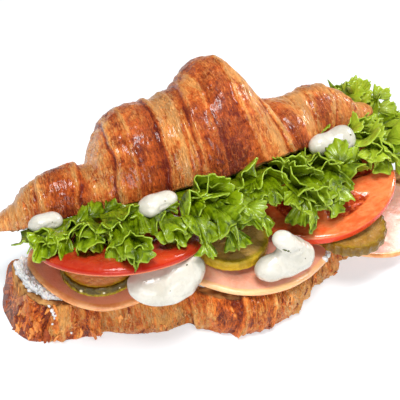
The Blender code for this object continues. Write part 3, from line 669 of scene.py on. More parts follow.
def coin_rings(node, middle, radii, tilt, wobble, spokes, relief, flutes, edge=0.05, shoulder=0.28):
    """A stiff slice where its CAD coin lies: rings from the middle of its top round to its underside."""
    turn = np.linspace(0, 2 * math.pi, spokes, endpoint=False)
    uneven = 1 + wobble * (np.sin(2 * turn + middle[0]) + 0.6 * np.sin(5 * turn + middle[1]))
    uneven = uneven + flutes * np.sin(24 * turn + 2 * np.sin(3 * turn))
    quarter = np.linspace(0, math.pi / 2, EDGE_RINGS + 1)[1:]
    profile = [(share, 0.5) for share in np.linspace(0.02, 1 - edge, TOP_RINGS)]
    profile += [(1 - edge + edge * math.sin(a), 0.5 - shoulder * (1 - math.cos(a))) for a in quarter]
    profile += [(1.0, high) for high in np.linspace(0.5 - shoulder, -0.22, SIDE_RINGS + 2)[1:-1]]
    profile += [(0.95 + 0.05 * math.cos(a), -0.22 - 0.28 * math.sin(a)) for a in quarter]
    profile += [(share, -0.5) for share in np.linspace(0.95, 0.04, UNDER_RINGS)]
    share, high = (column[:, None] + 0 * turn for column in np.array(profile).T)
    x, y = share * uneven * np.cos(turn) * radii[0], share * uneven * np.sin(turn) * radii[1]
    high = high * COIN_THICK + relief(share, turn, x, y) * (high > 0.45)
    low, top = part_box(node)
    return stack(x, y, high) @ tipped(*tilt) + (*middle, (low.z + top.z) / 2 / MM), share


def pickle_relief(share, turn, x, y):
    core = np.exp(-((share / 0.55) ** 6))
    return 0.25 * grain(61, x * 0.9, y * 0.9) * core + 0.10 * grain(62, x * 2.2, y * 2.2) - 0.25 * core


pickle, here, place = new_finish(
    "pickled_cucumber",
    Specular_IOR_Level=0.25,
    Subsurface_Weight=0.20,
    Subsurface_Radius=(1.0, 0.8, 0.15),
    Subsurface_Scale=0.003,
    Coat_Roughness=0.12,
)
share, side, ripe = here.given("share"), here.given("side"), here.given("ripe")
wart = here.speckle(place, 420.0, 3.0, 0.55)
cloud = here.speckle(place, 170.0, 3.0, 0.6)
seed = here.cells(here.stretched(place, (1, 0.55, 1)), 520.0)
# Partly painted light: the flesh's pale orange tan holds a painted reflection of ham and tomato, lifted
# against their shade.
fleshy = cloud.between(0.3, 0.7).blend((0.82, 0.47, 0.120), (0.97, 0.66, 0.28))
seeds = (1 - seed.between(0.18, 0.32)) * share.between(0.45, 0.68, 1.0, 0.0) * 0.65
fleshy = share.between(0.80, 0.93).blend(seeds.blend(fleshy, (0.78, 0.66, 0.36)), (0.56, 0.46, 0.02))
skin = (wart * 0.7 + cloud * 0.6 + here.given("low") * 0.5 - 0.38).between(0.22, 0.62)
colour = side.between(0.3, 0.8).blend(fleshy, skin.blend((0.085, 0.055, 0.004), (0.40, 0.29, 0.008)))
# Painted light on the ripe slice's side, lifting it to a bright yellow olive, and painted shade darkening its
# face.
colour = (ripe * side * (0.35 + wart * 0.5)).blend(colour, (0.74, 0.50, 0.030))
colour = (ripe * (1 - side) * (0.35 + cloud * 0.5)).blend(colour, (0.32, 0.17, 0.014))
wire(
    pickle,
    wart * 0.0007 + cloud * 0.0006,
    # The browned slice's flesh is darkened: partly its own brown, partly painted shade against the window's
    # light.
    Base_Color=(here.given("browned") * (0.5 + wart * 0.6)).blend(colour, (0.21, 0.105, 0.008)),
    Roughness=wart.between(0.3, 0.7, 0.18, 0.36),
    Coat_Weight=cloud.between(0.2, 0.8, 0.7, 0.3) * (1 - side * 0.75),
)
for node, middle, radius, tilt, flutes, ripe, browned in PICKLES:
    rings, share = coin_rings(node, middle, (radius, radius), tilt, WOBBLE, AROUND, pickle_relief, flutes)
    low = ramp(np.arange(len(share)), TOP_RINGS + 9, TOP_RINGS + 15)[:, None]
    values = {"share": (share, 0, 0), "side": (ramp(share, 0.90, 0.95), 0, 0), "low": (low, 0, 0)}
    piece = ring_piece(node + "_slice", rings, pickle, {**values, "ripe": ripe, "browned": browned})
    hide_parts(node)
    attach(piece, "root")


# Tomato slices
# Two thick slices of ripe tomato resting on the pickles: a thin taut skin, a broad wall of flesh,
# and ribs between hollows filled with clear red jelly and seeds. Both are wet and glossy.

# Each slice: node, middle, radii, tilt, how its hollows lie (how many, from which turn, how far out), how
# much painted shade darkens its flesh and skin while its jelly is painted lighter, whether its rim has a pale
# lip, and the width and drop of that rim
TOMATOES = (
    ("tomato_left", (-37, -7), (31.0, 31.0), (-15, 6), (5, 0.4, 0.50), 0.82, 1, (0.17, 0.60)),
    ("tomato_right", (50.5, -9), (30.5, 25.0), (11, -10), (4, 0.15, 0.74), 0.05, 0, (0.075, 0.34)),
)
# Points round a slice, and the ring on its side where the pale lip lies
ROUND, LIP_RING = 220, TOP_RINGS + 13.5


def hollows(share, turn, count, start, reach):
    """How deep inside a jelly hollow a spot lies, from 0 on the flesh to 1."""
    swing = np.cos(count * (turn - start) + 0.5 * np.sin(2 * turn))
    return ramp(swing, -0.35, 0) * ramp(share, 0.24, 0.32) * ramp(share, reach, reach - 0.08)


tomato, here, place = new_finish(
    "ripe_tomato",
    Specular_IOR_Level=0.3,
    Subsurface_Weight=0.20,
    Subsurface_Radius=(1.0, 0.22, 0.08),
    Subsurface_Scale=0.004,
    Coat_Roughness=0.08,
)
jelly, wall, deep = here.given("jelly"), here.given("wall"), here.given("deep")
cloud = here.speckle(place, 120.0, 4.0, 0.6)
wet = here.speckle(place, 520.0, 2.0, 0.5)
fibre = here.speckle(here.stretched(place, (260.0, 700.0, 300.0)), 1.0, 3.0, 0.6)
fleshy = (cloud + (fibre - 0.5) * 0.5).between(0.28, 0.72).blend((0.78, 0.10, 0.018), (0.93, 0.26, 0.085))
# Painted shade where deep is high, most on the left slice, whose face lies in shade: flesh here, skin below.
fleshy = (deep * 0.9 + (cloud - 0.5) * 0.9).between(0.0, 1.0).blend(fleshy, (0.40, 0.012, 0.004))
inside = (wet + (cloud - 0.5) * 0.8).between(0.35, 0.7).blend((0.30, 0.014, 0.004), (0.66, 0.11, 0.025))
# Painted light: where deep is high the jelly is lifted to a lighter red against that shade.
inside = (deep * 0.75).blend(inside, (0.84, 0.10, 0.028))
skin = (deep * 0.85 + (cloud - 0.5) * 0.6).between(0.0, 1.0).blend((0.74, 0.055, 0.012), (0.38, 0.012, 0.003))
colour = wall.between(0.4, 0.9).blend(jelly.between(0.2, 0.8).blend(fleshy, inside), skin)
wire(
    tomato,
    fibre * 0.00022 * (1 - jelly) + wet * jelly * 0.0008 + cloud * 0.0004,
    Base_Color=(here.given("lip") * 0.8).blend(colour, (0.90, 0.30, 0.12)),
    Roughness=wet.between(0.3, 0.7, 0.10, 0.30),
    Coat_Weight=cloud.between(0.25, 0.75, 0.8, 0.3) * (1 - wall * 0.9) * (1 - deep * 0.6),
)
for node, middle, radii, tilt, hollow, deep, lip, rim in TOMATOES:

    def tomato_relief(share, turn, x, y, hollow=hollow):
        pit = hollows(share, turn, *hollow)
        soft = 0.16 * grain(71, x * 0.3, y * 0.3) + 0.06 * grain(72, x * 1.2, y * 1.2)
        return soft + 0.30 * grain(73, x * 0.8, y * 0.8) * pit - 0.85 * pit

    rings, share = coin_rings(node, middle, radii, tilt, 0.012, ROUND, tomato_relief, 0.0, *rim)
    turn = np.linspace(0, 2 * math.pi, ROUND, endpoint=False)
    line = np.arange(len(share))[:, None]
    values = {
        "jelly": (hollows(share, turn, *hollow) * (line < TOP_RINGS), 0, 0),
        "wall": (ramp(share, 0.985, 1.0), 0, 0),
        "deep": (deep, 0, 0),
        "lip": (bell(line, LIP_RING, 1.2) * lip, 0, 0),
    }
    piece = ring_piece(node + "_slice", rings, tomato, values)
    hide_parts(node)
    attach(piece, "root")


# Lettuce
# Five crisp frilly leaves tucked under the lid and spilling over the tomato. Each is one thin sheet whose
# margin is longer than its root, so it buckles into curls; more curls stand up from the folds behind it.

# Each leaf: node; its root, crown and margin; columns of its sheet, how much of it is kept, and its tongues
# (place, width and extra share of each); how pale and tender its lobes are, which on the far leaf is also
# painted light where the window lights it, how many rows have smaller lobes, and where lobes are left out so
# that the tomato and the dark under the lid show (rows, from and to)
LEAVES = (
    (
        "lettuce_left",
        ((-70, 12, 35), (-56, 9, 39), (-45, 7, 41)),
        ((-72, 5, 36), (-57, -1, 41), (-45, -4, 43)),
        ((-75, 8, 30), (-67, -3, 36), (-57, -11, 43), (-47, -14, 43)),
        (110, 0.80, ((0.12, 0.08, 0.20), (0.85, 0.07, 0.15))),
        (0.0, 2, (((0, 1, 2, 3), -0.1, 0.10), ((1,), 0.1, 0.45), ((0,), 0.1, 1.0))),
    ),
    (
        "lettuce_drooping",
        ((-43, -1, 44), (-31, -1, 45), (-19, 0, 45)),
        ((-45, -9, 46), (-32, -12, 46), (-19, -12, 46)),
        ((-53, -20, 47), (-48, -37, 43), (-40, -36, 43), (-30, -24, 45), (-19, -28, 43)),
        (110, 0.64, ((0.33, 0.19, 0.30), (0.90, 0.20, 0.34))),
        (0.0, 2, (((0,), 0.0, 0.8), ((2, 3), 0.45, 0.80))),
    ),
    (
        "lettuce_middle",
        ((-14, 8, 41), (5, 8, 42), (25, 8, 43)),
        ((-13, -10, 46), (5, -14, 46), (26, -12, 46)),
        ((-16, -33, 40), (-4, -39, 33), (7, -35, 37), (15, -36, 37), (26, -29, 40)),
        (150, 0.68, ((0.29, 0.035, 0.21), (0.62, 0.05, 0.12), (0.02, 0.08, 0.3))),
        (0.0, 1, ()),
    ),
    (
        "lettuce_right",
        ((26, 9, 43), (43, 11, 43), (61, 14, 43)),
        ((28, -14, 43), (43, -13, 42), (62, 1, 44)),
        ((27, -28, 36), (33, -32, 31), (42, -31, 30), (50, -27, 33), (57, -18, 37), (69, -3, 44)),
        (150, 0.72, ((0.17, 0.04, 0.16), (0.55, 0.10, 0.16))),
        (0.5, 0, ()),
    ),
    (
        "lettuce_far",
        ((66, 17, 37), (76, 23, 33), (77, 34, 30)),
        ((71, 2, 39), (90, 14, 34), (86, 40, 32)),
        ((67, -6, 38), (80, -8, 35), (95, 1, 34), (104, 17, 36), (101, 34, 41), (87, 50, 44)),
        (150, 0.96, ((0.5, 0.1, 0.04),)),
        (0.85, 0, ()),
    ),
)
# Rows of lobes on a leaf: how far down the sheet, spacing, size, and how steeply they stand
LOBE_ROWS = ((0.25, 8.5, 9.0, 72), (0.50, 8.8, 10.0, 60), (0.74, 7.8, 9.5, 44), (0.92, 7.0, 7.0, 14))
# Points round a lobe's edge and from its root to its edge, and rows of points from a leaf's root to its margin
LOBE_POINTS, LOBE_STEPS, SHEET_STEPS = 54, 13, 40
# First lobes of one row that are left out only after their draws: leaf, row, and up to where
LATE_BARE = ("lettuce_drooping", 1, 0.12)
# Single lobes that close gaps under the lid, the first two over the right hand dollop: leaf, where they
# start, their way, size and seed
SINGLE_LOBES = (
    ("lettuce_right", (55.5, -12.5, 46.5), (0.25, 0.45, 0.9), 8.0, 5),
    ("lettuce_right", (61.5, -13.0, 45.0), (0.1, 0.3, 0.95), 6.5, 8),
    ("lettuce_right", (27.0, 2.0, 42.0), (0.4, 0.1, 0.5), 6.5, 9),
    ("lettuce_left", (-51.0, 1.0, 41.6), (0.95, 0.1, 0.12), 6.5, 3),
    ("lettuce_drooping", (-45.5, 1.0, 43.0), (1.0, 0.1, 0.04), 7.0, 4),
    ("lettuce_drooping", (-39.5, 1.0, 43.5), (1.0, 0.1, 0.04), 7.0, 6),
    ("lettuce_drooping", (-33.5, 1.0, 44.0), (1.0, 0.1, 0.08), 6.0, 12),
)
# Directions: off the slope on which the leaves lie, up that slope, along the sandwich, and out at its front
OUTWARD, UPSLOPE, ACROSS = np.array((0, -0.6, 0.8)), np.array((0, 0.8, 0.6)), np.array((1.0, 0, 0))
FORWARD = np.array((-0.2, -0.9, 0.35))


def through(points, t):
    """Points at shares t of a smooth curve through the given points."""
    points = np.array(points, float)
    points = np.concatenate([[2 * points[0] - points[1]], points, [2 * points[-1] - points[-2]]])
    spans = len(points) - 3
    k = np.minimum((t * spans).astype(int), spans - 1)
    f = (t * spans - k)[:, None]
    p, q, r, s = (points[k + i] for i in range(4))
    return 0.5 * (2 * q + (r - p) * f + (2 * p - 5 * q + 4 * r - s) * f * f + (3 * q - p - 3 * r + s) * f**3)


def unit(vectors):
    return vectors / np.maximum(np.linalg.norm(vectors, axis=-1, keepdims=True), 1e-9)


def leaf_directions(grid):
    """Along the margin, towards it, and off the top of a sheet of points."""
    along, toward = unit(np.gradient(grid, axis=1)), unit(np.gradient(grid, axis=0))
    off = unit(np.cross(toward, along))
    return along, toward, off * np.sign((off @ OUTWARD).sum())


def neighbours(grid, **padding):
    near = np.pad(grid, 1, **padding)
    return np.stack([near[:-2, 1:-1], near[2:, 1:-1], near[1:-1, :-2], near[1:-1, 2:]])


def settled_leaf(node, lines, seed, columns, kept, tongues):
    """The sheet of a leaf and its length: the waves of the CAD leaf, read off its upper face and smoothed.

    Its margin is kept back to a share of the leaf, apart from its tongues."""
    u, v = np.linspace(0, 1, columns), np.linspace(0, 1, SHEET_STEPS)[:, None, None]
    share = kept + 0.05 * grain(90, u * 9, seed)
    for place, wide, extra in tongues:
        share = np.maximum(share, kept + extra * bell(u, place, wide))
    v = v * np.minimum(share, 1.0)[:, None]
    root, crown, margin = (through(line, u) for line in lines)
    grid = (1 - v) ** 2 * root + 2 * v * (1 - v) * (2 * crown - 0.5 * (root + margin)) + v * v * margin
    length = np.linalg.norm(np.diff(grid[-1], axis=0), axis=1).sum()
    along, toward, _ = leaf_directions(grid)
    turn = (2 * math.pi * u * length / 15.0 + seed)[:, None]
    wide = 4.2 * np.clip(v - 0.15, 0, None) ** 1.2
    grid = grid + along * wide * 0.12 * np.sin(2 * turn)
    grid = grid + toward * wide * 0.55 * np.sin(1.6 * turn + 2 * seed)
    tree = surface(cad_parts[node])
    flat = (grid @ ACROSS)[..., None] * ACROSS + (grid @ UPSLOPE)[..., None] * UPSLOPE
    high = np.full(grid.shape[:2], np.nan)
    for at in np.ndindex(high.shape):
        hit = tree.ray_cast(Vector(flat[at] + OUTWARD * 200), Vector(-OUTWARD))[0]
        if hit is not None:
            high[at] = np.array(hit) @ OUTWARD
    for _ in range(40):
        near = neighbours(high, constant_values=np.nan)
        known = ~np.isnan(near)
        mean = np.where(known, near, 0).sum(axis=0) / np.maximum(known.sum(axis=0), 1)
        high = np.where(np.isnan(high) & known.any(axis=0), mean, high)
    for _ in range(3):
        high = 0.4 * high + 0.15 * neighbours(high, mode="edge").sum(axis=0)
    return flat + high[..., None] * OUTWARD, length


def frilled(sheet, length, seed):
    """Adds curls that grow from the middle of a leaf to its margin: they rise, swing and overhang."""
    start, height, pitch, curl = 0.45, 1.1, 9.0, 0.45
    along, toward, off = leaf_directions(sheet)
    v, s = np.linspace(0, 1, len(sheet))[:, None], np.linspace(0, length, sheet.shape[1])
    grow = ramp(v, start, 1) ** 1.4
    drift = 1.6 * grain(seed, s * 0.11, v * 0.9) + 0.5 * grain(seed + 1, s * 0.3, v * 0.5)
    turn = 2 * math.pi * s / pitch + 3.0 * drift
    rise = height * grow * (1 + 0.55 * grain(seed + 2, s * 0.17, 3.3))
    small = 2 * math.pi * s / (pitch * 0.37) + 4.0 * grain(seed + 3, s * 0.3, v * 1.2)
    lobes = grain(seed + 4, s * 0.28, 0) * 2.4 + np.abs(grain(seed + 5, s * 0.75, 0)) * 1.5
    lift = rise * (0.8 + np.sin(turn)) + 0.28 * rise * np.sin(small)
    swing = rise * curl * np.sin(2 * turn) + 0.2 * rise * np.cos(small)
    reach = lobes * grow**2 - 0.5 * rise * np.cos(turn + 0.8) * grow
    return sheet + off * lift[..., None] + along * swing[..., None] + toward * reach[..., None]


def leaf_lobe(spot, toward, off, radius, yaw, pitch, seed):
    """A toothed, ruffled lobe: a fan that spreads from a spot and stands off the sheet, and its veins."""
    turned = toward * math.cos(yaw) + np.cross(toward, off) * math.sin(yaw)
    side = np.cross(turned, off)
    rising = turned * math.cos(pitch) + off * math.sin(pitch)
    upright = off * math.cos(pitch) - turned * math.sin(pitch)
    draw = np.random.default_rng(seed).uniform
    spread = draw(0.95, 1.35)
    angle, t = np.linspace(-spread, spread, LOBE_POINTS), np.linspace(0, 1, LOBE_STEPS)[:, None]
    teeth = 0.26 * np.abs(np.sin(angle * draw(2.0, 3.0) + draw(0, 3))) ** 0.8
    saw = np.mod(angle * draw(2.8, 4.2) + draw(0, 1), 1)
    teeth = teeth + 0.19 * np.where(saw < 0.35, saw / 0.35, (1 - saw) / 0.65) * draw(0.7, 1.2)
    reach = radius * t * (0.80 + teeth * t) * (1 - 0.32 * t * (angle / spread) ** 4)
    waves = draw(2.4, 3.6)
    ruffle = 0.30 * radius * t**1.8 * np.sin(angle * waves + draw(0, 6.3))
    ruffle = ruffle + 0.10 * radius * t**2.5 * np.sin(angle * 7.3 + draw(0, 6.3))
    cup = radius * (draw(0.0, 0.30) * t - draw(0.25, 0.75) * t**2.2)
    swing = 0.12 * radius * t**2 * np.cos(2 * angle * waves)
    branches = np.abs(np.sin(angle * 3.4 + 0.8 * t * np.sign(angle))) * reach
    fan = stack(reach * np.sin(angle) + swing, reach * np.cos(angle), cup + ruffle)
    fan = fan @ np.array((side, rising, upright))
    return spot + fan, bell(branches, 0, 0.42) * np.clip(1.25 - t, 0, 1)


def kept_clear(points, start, room=0.5):
    """Pulls points back along the way from their start until they stop short of the lid and the dollops."""
    clear, start = points.copy(), np.broadcast_to(start, points.shape)
    for at in np.ndindex(points.shape[:2]):
        way = points[at] - start[at]
        far = full = np.linalg.norm(way)
        for tree in obstacles if full >= 0.05 else ():
            hit = tree.ray_cast(Vector(start[at]), Vector(way / full), far + room)
            if hit[0] is not None:
                far = max(hit[3] - room, 0.0)
                clear[at] = start[at] + way / full * far
    return clear


def make_plain(piece):
    """Turns what a piece's modifiers make into its own mesh."""
    graph = bpy.context.evaluated_depsgraph_get()
    piece.data = bpy.data.meshes.new_from_object(piece.evaluated_get(graph))
    piece.modifiers.clear()


lettuce, here, place = new_finish(
    "frilly_lettuce",
    Specular_IOR_Level=0.22,
    Subsurface_Weight=0.12,
    Subsurface_Radius=(0.5, 1.0, 0.1),
    Subsurface_Scale=0.0012,
    Coat_Roughness=0.18,
)
fan = here.given("vein")
layout = here.node("UVMap", {"uv_map": "UVMap"})
vein = here.cells(here.stretched(layout, (190.0, 90.0, 1.0)), 1.0, feature="DISTANCE_TO_EDGE")
patch = here.speckle(place, 130.0, 3.0, 0.6)
puckered = here.speckle(place, 420.0, 3.0, 0.55)
green = (patch + (puckered - 0.5) * 0.5).between(0.30, 0.67)
green = green.blend((0.038, 0.072, 0.0004), (0.235, 0.345, 0.001))
# Paler young green where the tender value is high: the pale root of each sheet, and painted light over the far
# leaf's lobes.
young = (here.given("tender") * 0.75 + (patch - 0.5) * 0.5).between(0.2, 0.9)
green = young.blend(green, (0.42, 0.53, 0.035))
green = vein.between(0.0, 0.10, 0.30, 0.0).blend(green, (0.32, 0.45, 0.012))
# Painted shade: the green darkens towards lobe roots, and a little over the whole sheet, where the gaps lie in
# shade.
green = (here.given("inner") * 0.9).blend(green, (0.028, 0.048, 0.0005))
green = (fan * 0.42).blend(green, (0.40, 0.53, 0.020))
wire(
    lettuce,
    puckered * 0.0006 + vein.between(0.0, 0.2, 0.0, 0.00025) + fan * 0.0003,
    Base_Color=here.given("rim").between(0.45, 1.0, 0.0, 0.55).blend(green, (0.42, 0.56, 0.06)),
    Roughness=puckered.between(0.3, 0.7, 0.24, 0.40),
    Coat_Weight=patch.between(0.46, 0.62, 0.0, 0.75),
)
obstacles = ["croissant_lid", *(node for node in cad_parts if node.startswith("sauce"))]
obstacles = [surface(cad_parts[node]) for node in obstacles]
for k, (node, root, crown, margin, trim, (tender, smaller, bare)) in enumerate(LEAVES):
    sheet, length = settled_leaf(node, (root, crown, margin), 1.3 * k, *trim)
    sheets = [(kept_clear(frilled(sheet, length, 100 * k + 7), sheet), length, 0)]
    _, toward, off = leaf_directions(sheet)
    chance = np.random.default_rng(50 + k)
    for number, (row, spacing, radius, stand) in enumerate(LOBE_ROWS):
        at = int(row * (len(sheet) - 1))
        reach = np.concatenate([[0], np.linalg.norm(np.diff(sheet[at], axis=0), axis=1).cumsum()])
        for s in np.arange(chance.uniform(1, 4), reach[-1] - 1, spacing):
            j = int(np.searchsorted(reach, min(s + chance.uniform(-2, 2), reach[-1] - 0.1)))
            j = min(max(j, 1), sheet.shape[1] - 2)
            i = min(max(at + chance.integers(-3, 4), 1), len(sheet) - 2)
            place = s / reach[-1]
            if any(number in rows and low < place < high for rows, low, high in bare):
                continue
            # The lobes shrink towards the two tips of the sandwich
            outer = {"lettuce_left": s, "lettuce_far": reach[-1] - s}.get(node, 99)
            size = radius * chance.uniform(0.8, 1.2) * min(1.0, 0.42 + 0.06 * outer)
            size = size * (0.8 if number < smaller else 1)
            yaw, pitch = chance.uniform(-0.7, 0.7), math.radians(stand + chance.uniform(-16, 16))
            if (node, number) == LATE_BARE[:2] and place < LATE_BARE[2]:
                continue
            spot, down = sheet[i, j] + off[i, j] * 0.2, unit(toward[i, j] * 0.75 - UPSLOPE * 0.35)
            lobe, veins = leaf_lobe(spot, down, off[i, j], size, yaw, pitch, 1000 * k + int(97 * s) + i)
            sheets.append((kept_clear(lobe, sheet[i, j] + off[i, j] * 0.3), size * 2, veins))
    for leaf, spot, way, size, seed in SINGLE_LOBES:
        if leaf == node:
            way = unit(np.array(way))
            lobe, veins = leaf_lobe(spot, way, unit(FORWARD), size, yaw=0.0, pitch=0.1, seed=seed)
            sheets.append((kept_clear(lobe, spot), size * 2, veins))
    points, faces, layouts, values = [], [], [], {"rim": [], "tender": [], "inner": [], "vein": []}
    for number, (sheet, length, veins) in enumerate(sheets):
        rows, columns = sheet.shape[:2]
        faces += sheet_faces(rows, columns, sum(map(len, points)))
        points.append(sheet.reshape(-1, 3))
        v = np.linspace(0, 1, rows)[:, None]
        steps = np.linalg.norm(np.diff(sheet, axis=0), axis=2)
        past = np.concatenate([steps[::-1].cumsum(axis=0)[::-1], np.zeros((1, columns))])
        # The third tone is painted shade: full at a lobe's root, gone by seven tenths of the way out, a
        # quarter on the sheet.
        tones = (bell(past, 0, 0.28), tender, ramp(v, 0.72, 0), veins)
        if number == 0:
            tones = (tones[0], 0.3 * (1 - v) ** 1.5, 0.25, 0)
        for stored, tone in zip(values.values(), tones):
            stored.append((tone + 0 * past).ravel())
        layouts.append(stack(np.linspace(0, length, columns), past).reshape(-1, 2) / 1000)
    values = {label: np.concatenate(stored) for label, stored in values.items()}
    points, layouts = np.concatenate(points), np.concatenate(layouts)
    piece = add_piece(node + "_frills", points, faces, lettuce, values, layouts)
    body = piece.modifiers.new("thickness", "SOLIDIFY")
    body.thickness, body.offset = 0.00045, 0
    make_plain(piece)
    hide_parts(node)
    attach(piece, "root")


# Sauce dollops
# Five spoonfuls of thick white sauce with chopped herbs: one large pool over the ham, a curled one beside
# the pickle, and three smaller ones squeezed out under the lid. Each is one soft, swirled, glossy body.

# Crease of the curled dollop: where it starts and which way it runs, seen from the front, and how wide it is
CREASE, CREASE_WAY, CREASE_WIDE = (16.9, 40.4), np.array((7.4, -14.3)) / 16.1, 0.9


def read(items, key):
    """Rows of three numbers, one row for each corner or face of a mesh."""
    numbers = np.zeros(len(items) * 3, np.float32)
    items.foreach_get(key, numbers)
    return numbers.reshape(-1, 3)


sauce, here, place = new_finish(
    "white_sauce",
    Specular_IOR_Level=0.5,
    Subsurface_Weight=0.15,
    Subsurface_Radius=(1.0, 0.8, 0.6),
    Subsurface_Scale=0.003,
    Coat_Roughness=0.12,
)
fold = here.speckle(place, 75.0, 2.0, 0.5, 1.2)
creamy = here.speckle(place, 300.0, 3.0, 0.5)
herb = here.speckle(place, 330.0, 1.0, 0.5).between(0.76, 0.79)
# Partly painted shade: the sauce is greyer in the hollows of its folds, where the bump dips.
tint = (fold + (creamy - 0.5) * 0.3).between(0.25, 0.75).blend((0.57, 0.54, 0.455), (0.69, 0.66, 0.58))
wire(
    sauce,
    fold * 0.0012 + creamy * 0.00008,
    Base_Color=(herb * 0.8).blend(tint, (0.15, 0.14, 0.06)),
    Roughness=creamy.between(0.3, 0.7, 0.20, 0.38),
    Coat_Weight=fold.between(0.3, 0.7, 0.6, 0.3),
)
for node in sorted(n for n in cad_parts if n.startswith("sauce")):
    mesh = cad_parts[node].data.copy()
    with reworked(mesh) as shape:
        bmesh.ops.remove_doubles(shape, verts=shape.verts, dist=0.00002)
    piece = add_object(node + "_swirl", mesh)
    for grown, size, passes in ((0.0018, 0.0008, 12), (-0.0015, 0.0005, 22)):
        swell = piece.modifiers.new("swell", "DISPLACE")
        swell.strength, swell.mid_level = grown, 0
        skin = piece.modifiers.new("skin", "REMESH")
        skin.mode, skin.voxel_size = "VOXEL", size
        soft = piece.modifiers.new("soft", "SMOOTH")
        soft.factor, soft.iterations = 0.8, passes
    make_plain(piece)
    spots, ways = read(piece.data.vertices, "co") / MM, read(piece.data.vertex_normals, "vector")
    share = (spots - (spots.max(axis=0) + spots.min(axis=0)) / 2) / np.ptp(spots, axis=0)
    right, up = share[:, 0] - 0.14, share[:, 2] * 1.2 - 0.05
    out = np.hypot(right, up)
    groove = np.sin(np.arctan2(up, right) - 16 * out + 2.2)
    swirl = 0.35 * grain(81, spots * 0.16) + 0.12 * grain(82, spots * 0.45)
    swirl = swirl - 0.42 * ramp(groove, 0.55, 1) * ramp(out, 0.5, 0.2)
    if node == "sauce_front_curl":
        beside = (spots[:, 0] - CREASE[0]) * CREASE_WAY[1] - (spots[:, 2] - CREASE[1]) * CREASE_WAY[0]
        facing = np.clip(1.5 * (ways @ (-0.2, -0.9, 0.3)), 0, 1)
        swirl = swirl - 0.75 * bell(beside, 0, CREASE_WIDE) * facing
        spots[:, 0] -= 2.6 * ramp(spots[:, 2], 35.5, 40.5) * ramp(spots[:, 0], 19.5, 15.5)
    spots = spots + ways * (0.35 + swirl)[:, None]
    piece.data.vertices.foreach_set("co", (spots * MM).astype(np.float32).ravel())
    piece.data.shade_smooth()
    piece.data.materials.clear()
    piece.data.materials.append(sauce)
    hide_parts(node)
    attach(piece, "root")


# Pastry flakes
# Thin shards of the baked layers that stand off the torn end, the rim and the side of the lower half.
# Each is one small curled plate copied over marked spots, stood along the side, turned and sized at random.

# Where flakes are shed: how many, from which x to which, from which height to which, and how large
FLAKES = (
    (40, -80, -58, 1.5, 14, 1.1), (6, -58, -48, 1, 8, 0.8), (10, -48, -16, 1, 5, 0.6),
    (26, -14, 30, 1.5, 14, 0.6), (44, 30, 60, 2, 13, 0.8), (40, 60, 104, 2, 10, 0.8),
)
# How many more the torn left end sheds, and how high above the table the lowest grain of any kind may reach
END_FLAKES, LOWEST = 26, 0.00005

# A node group: a grain copied to every spot, stood on the surface there, turned, sized and roughened
scattering = bpy.data.node_groups.new("scattered_grains", "GeometryNodeTree")
for label, kind in (
    ("Spots", "Geometry"), ("Grain", "Object"), ("Smallest", "Float"), ("Largest", "Float"),
    ("Turn", "Vector"), ("Rough", "Float"), ("Seed", "Int"), ("Material", "Material"),
):
    scattering.interface.new_socket(label, in_out="INPUT", socket_type="NodeSocket" + kind)
scattering.interface.new_socket("Grains", in_out="OUTPUT", socket_type="NodeSocketGeometry")


def step(kind, sockets, out=0, **settings):
    made = scattering.nodes.new(kind)
    for label, value in settings.items():
        setattr(made, label, value)
    for label, value in sockets.items():
        if isinstance(value, bpy.types.NodeSocket):
            scattering.links.new(value, made.inputs[label])
        else:
            made.inputs[label].default_value = value
    return made.outputs[out]


def vectors(operation, sockets):
    return step("ShaderNodeVectorMath", sockets, operation=operation)


given = scattering.nodes.new("NodeGroupInput").outputs
facing, along, big = (
    step("GeometryNodeInputNamedAttribute", {"Name": label}, data_type=kind)
    for label, kind in (("facing", "FLOAT_VECTOR"), ("along", "FLOAT_VECTOR"), ("big", "FLOAT"))
)
axes = {"Primary Axis": facing, "Secondary Axis": along}
stood = step("FunctionNodeAxesToRotation", axes, primary_axis="Z", secondary_axis="Y")
back = vectors("SCALE", {"Vector": given["Turn"], "Scale": -1.0})
span = {0: back, 1: given["Turn"], "Seed": given["Seed"]}
turn = step("FunctionNodeRandomValue", span, data_type="FLOAT_VECTOR")
turn = step("FunctionNodeEulerToRotation", {"Euler": turn})
turn = step("FunctionNodeRotateRotation", {"Rotation": stood, "Rotate By": turn}, rotation_space="LOCAL")
span = {2: given["Smallest"], 3: given["Largest"], "Seed": given["Seed"]}
size = step("FunctionNodeRandomValue", span, 1, data_type="FLOAT")
size = step("ShaderNodeMath", {0: size, 1: big}, operation="MULTIPLY")
model = step("GeometryNodeObjectInfo", {"Object": given["Grain"]}, "Geometry")
copies = {"Points": given["Spots"], "Instance": model, "Rotation": turn, "Scale": size}
copies = step("GeometryNodeRealizeInstances", {"Geometry": step("GeometryNodeInstanceOnPoints", copies)})
noise = {"Vector": step("GeometryNodeInputPosition", {}), "Scale": 620.0, "Detail": 2.0}
noise = vectors("SUBTRACT", {0: step("ShaderNodeTexNoise", noise, 1), 1: (0.5, 0.5, 0.5)})
noise = vectors("SCALE", {"Vector": noise, "Scale": given["Rough"]})
copies = step("GeometryNodeSetPosition", {"Geometry": copies, "Offset": noise})
copies = step("GeometryNodeSetMaterial", {"Geometry": copies, "Material": given["Material"]})
scattering.links.new(copies, scattering.nodes.new("NodeGroupOutput").inputs[0])


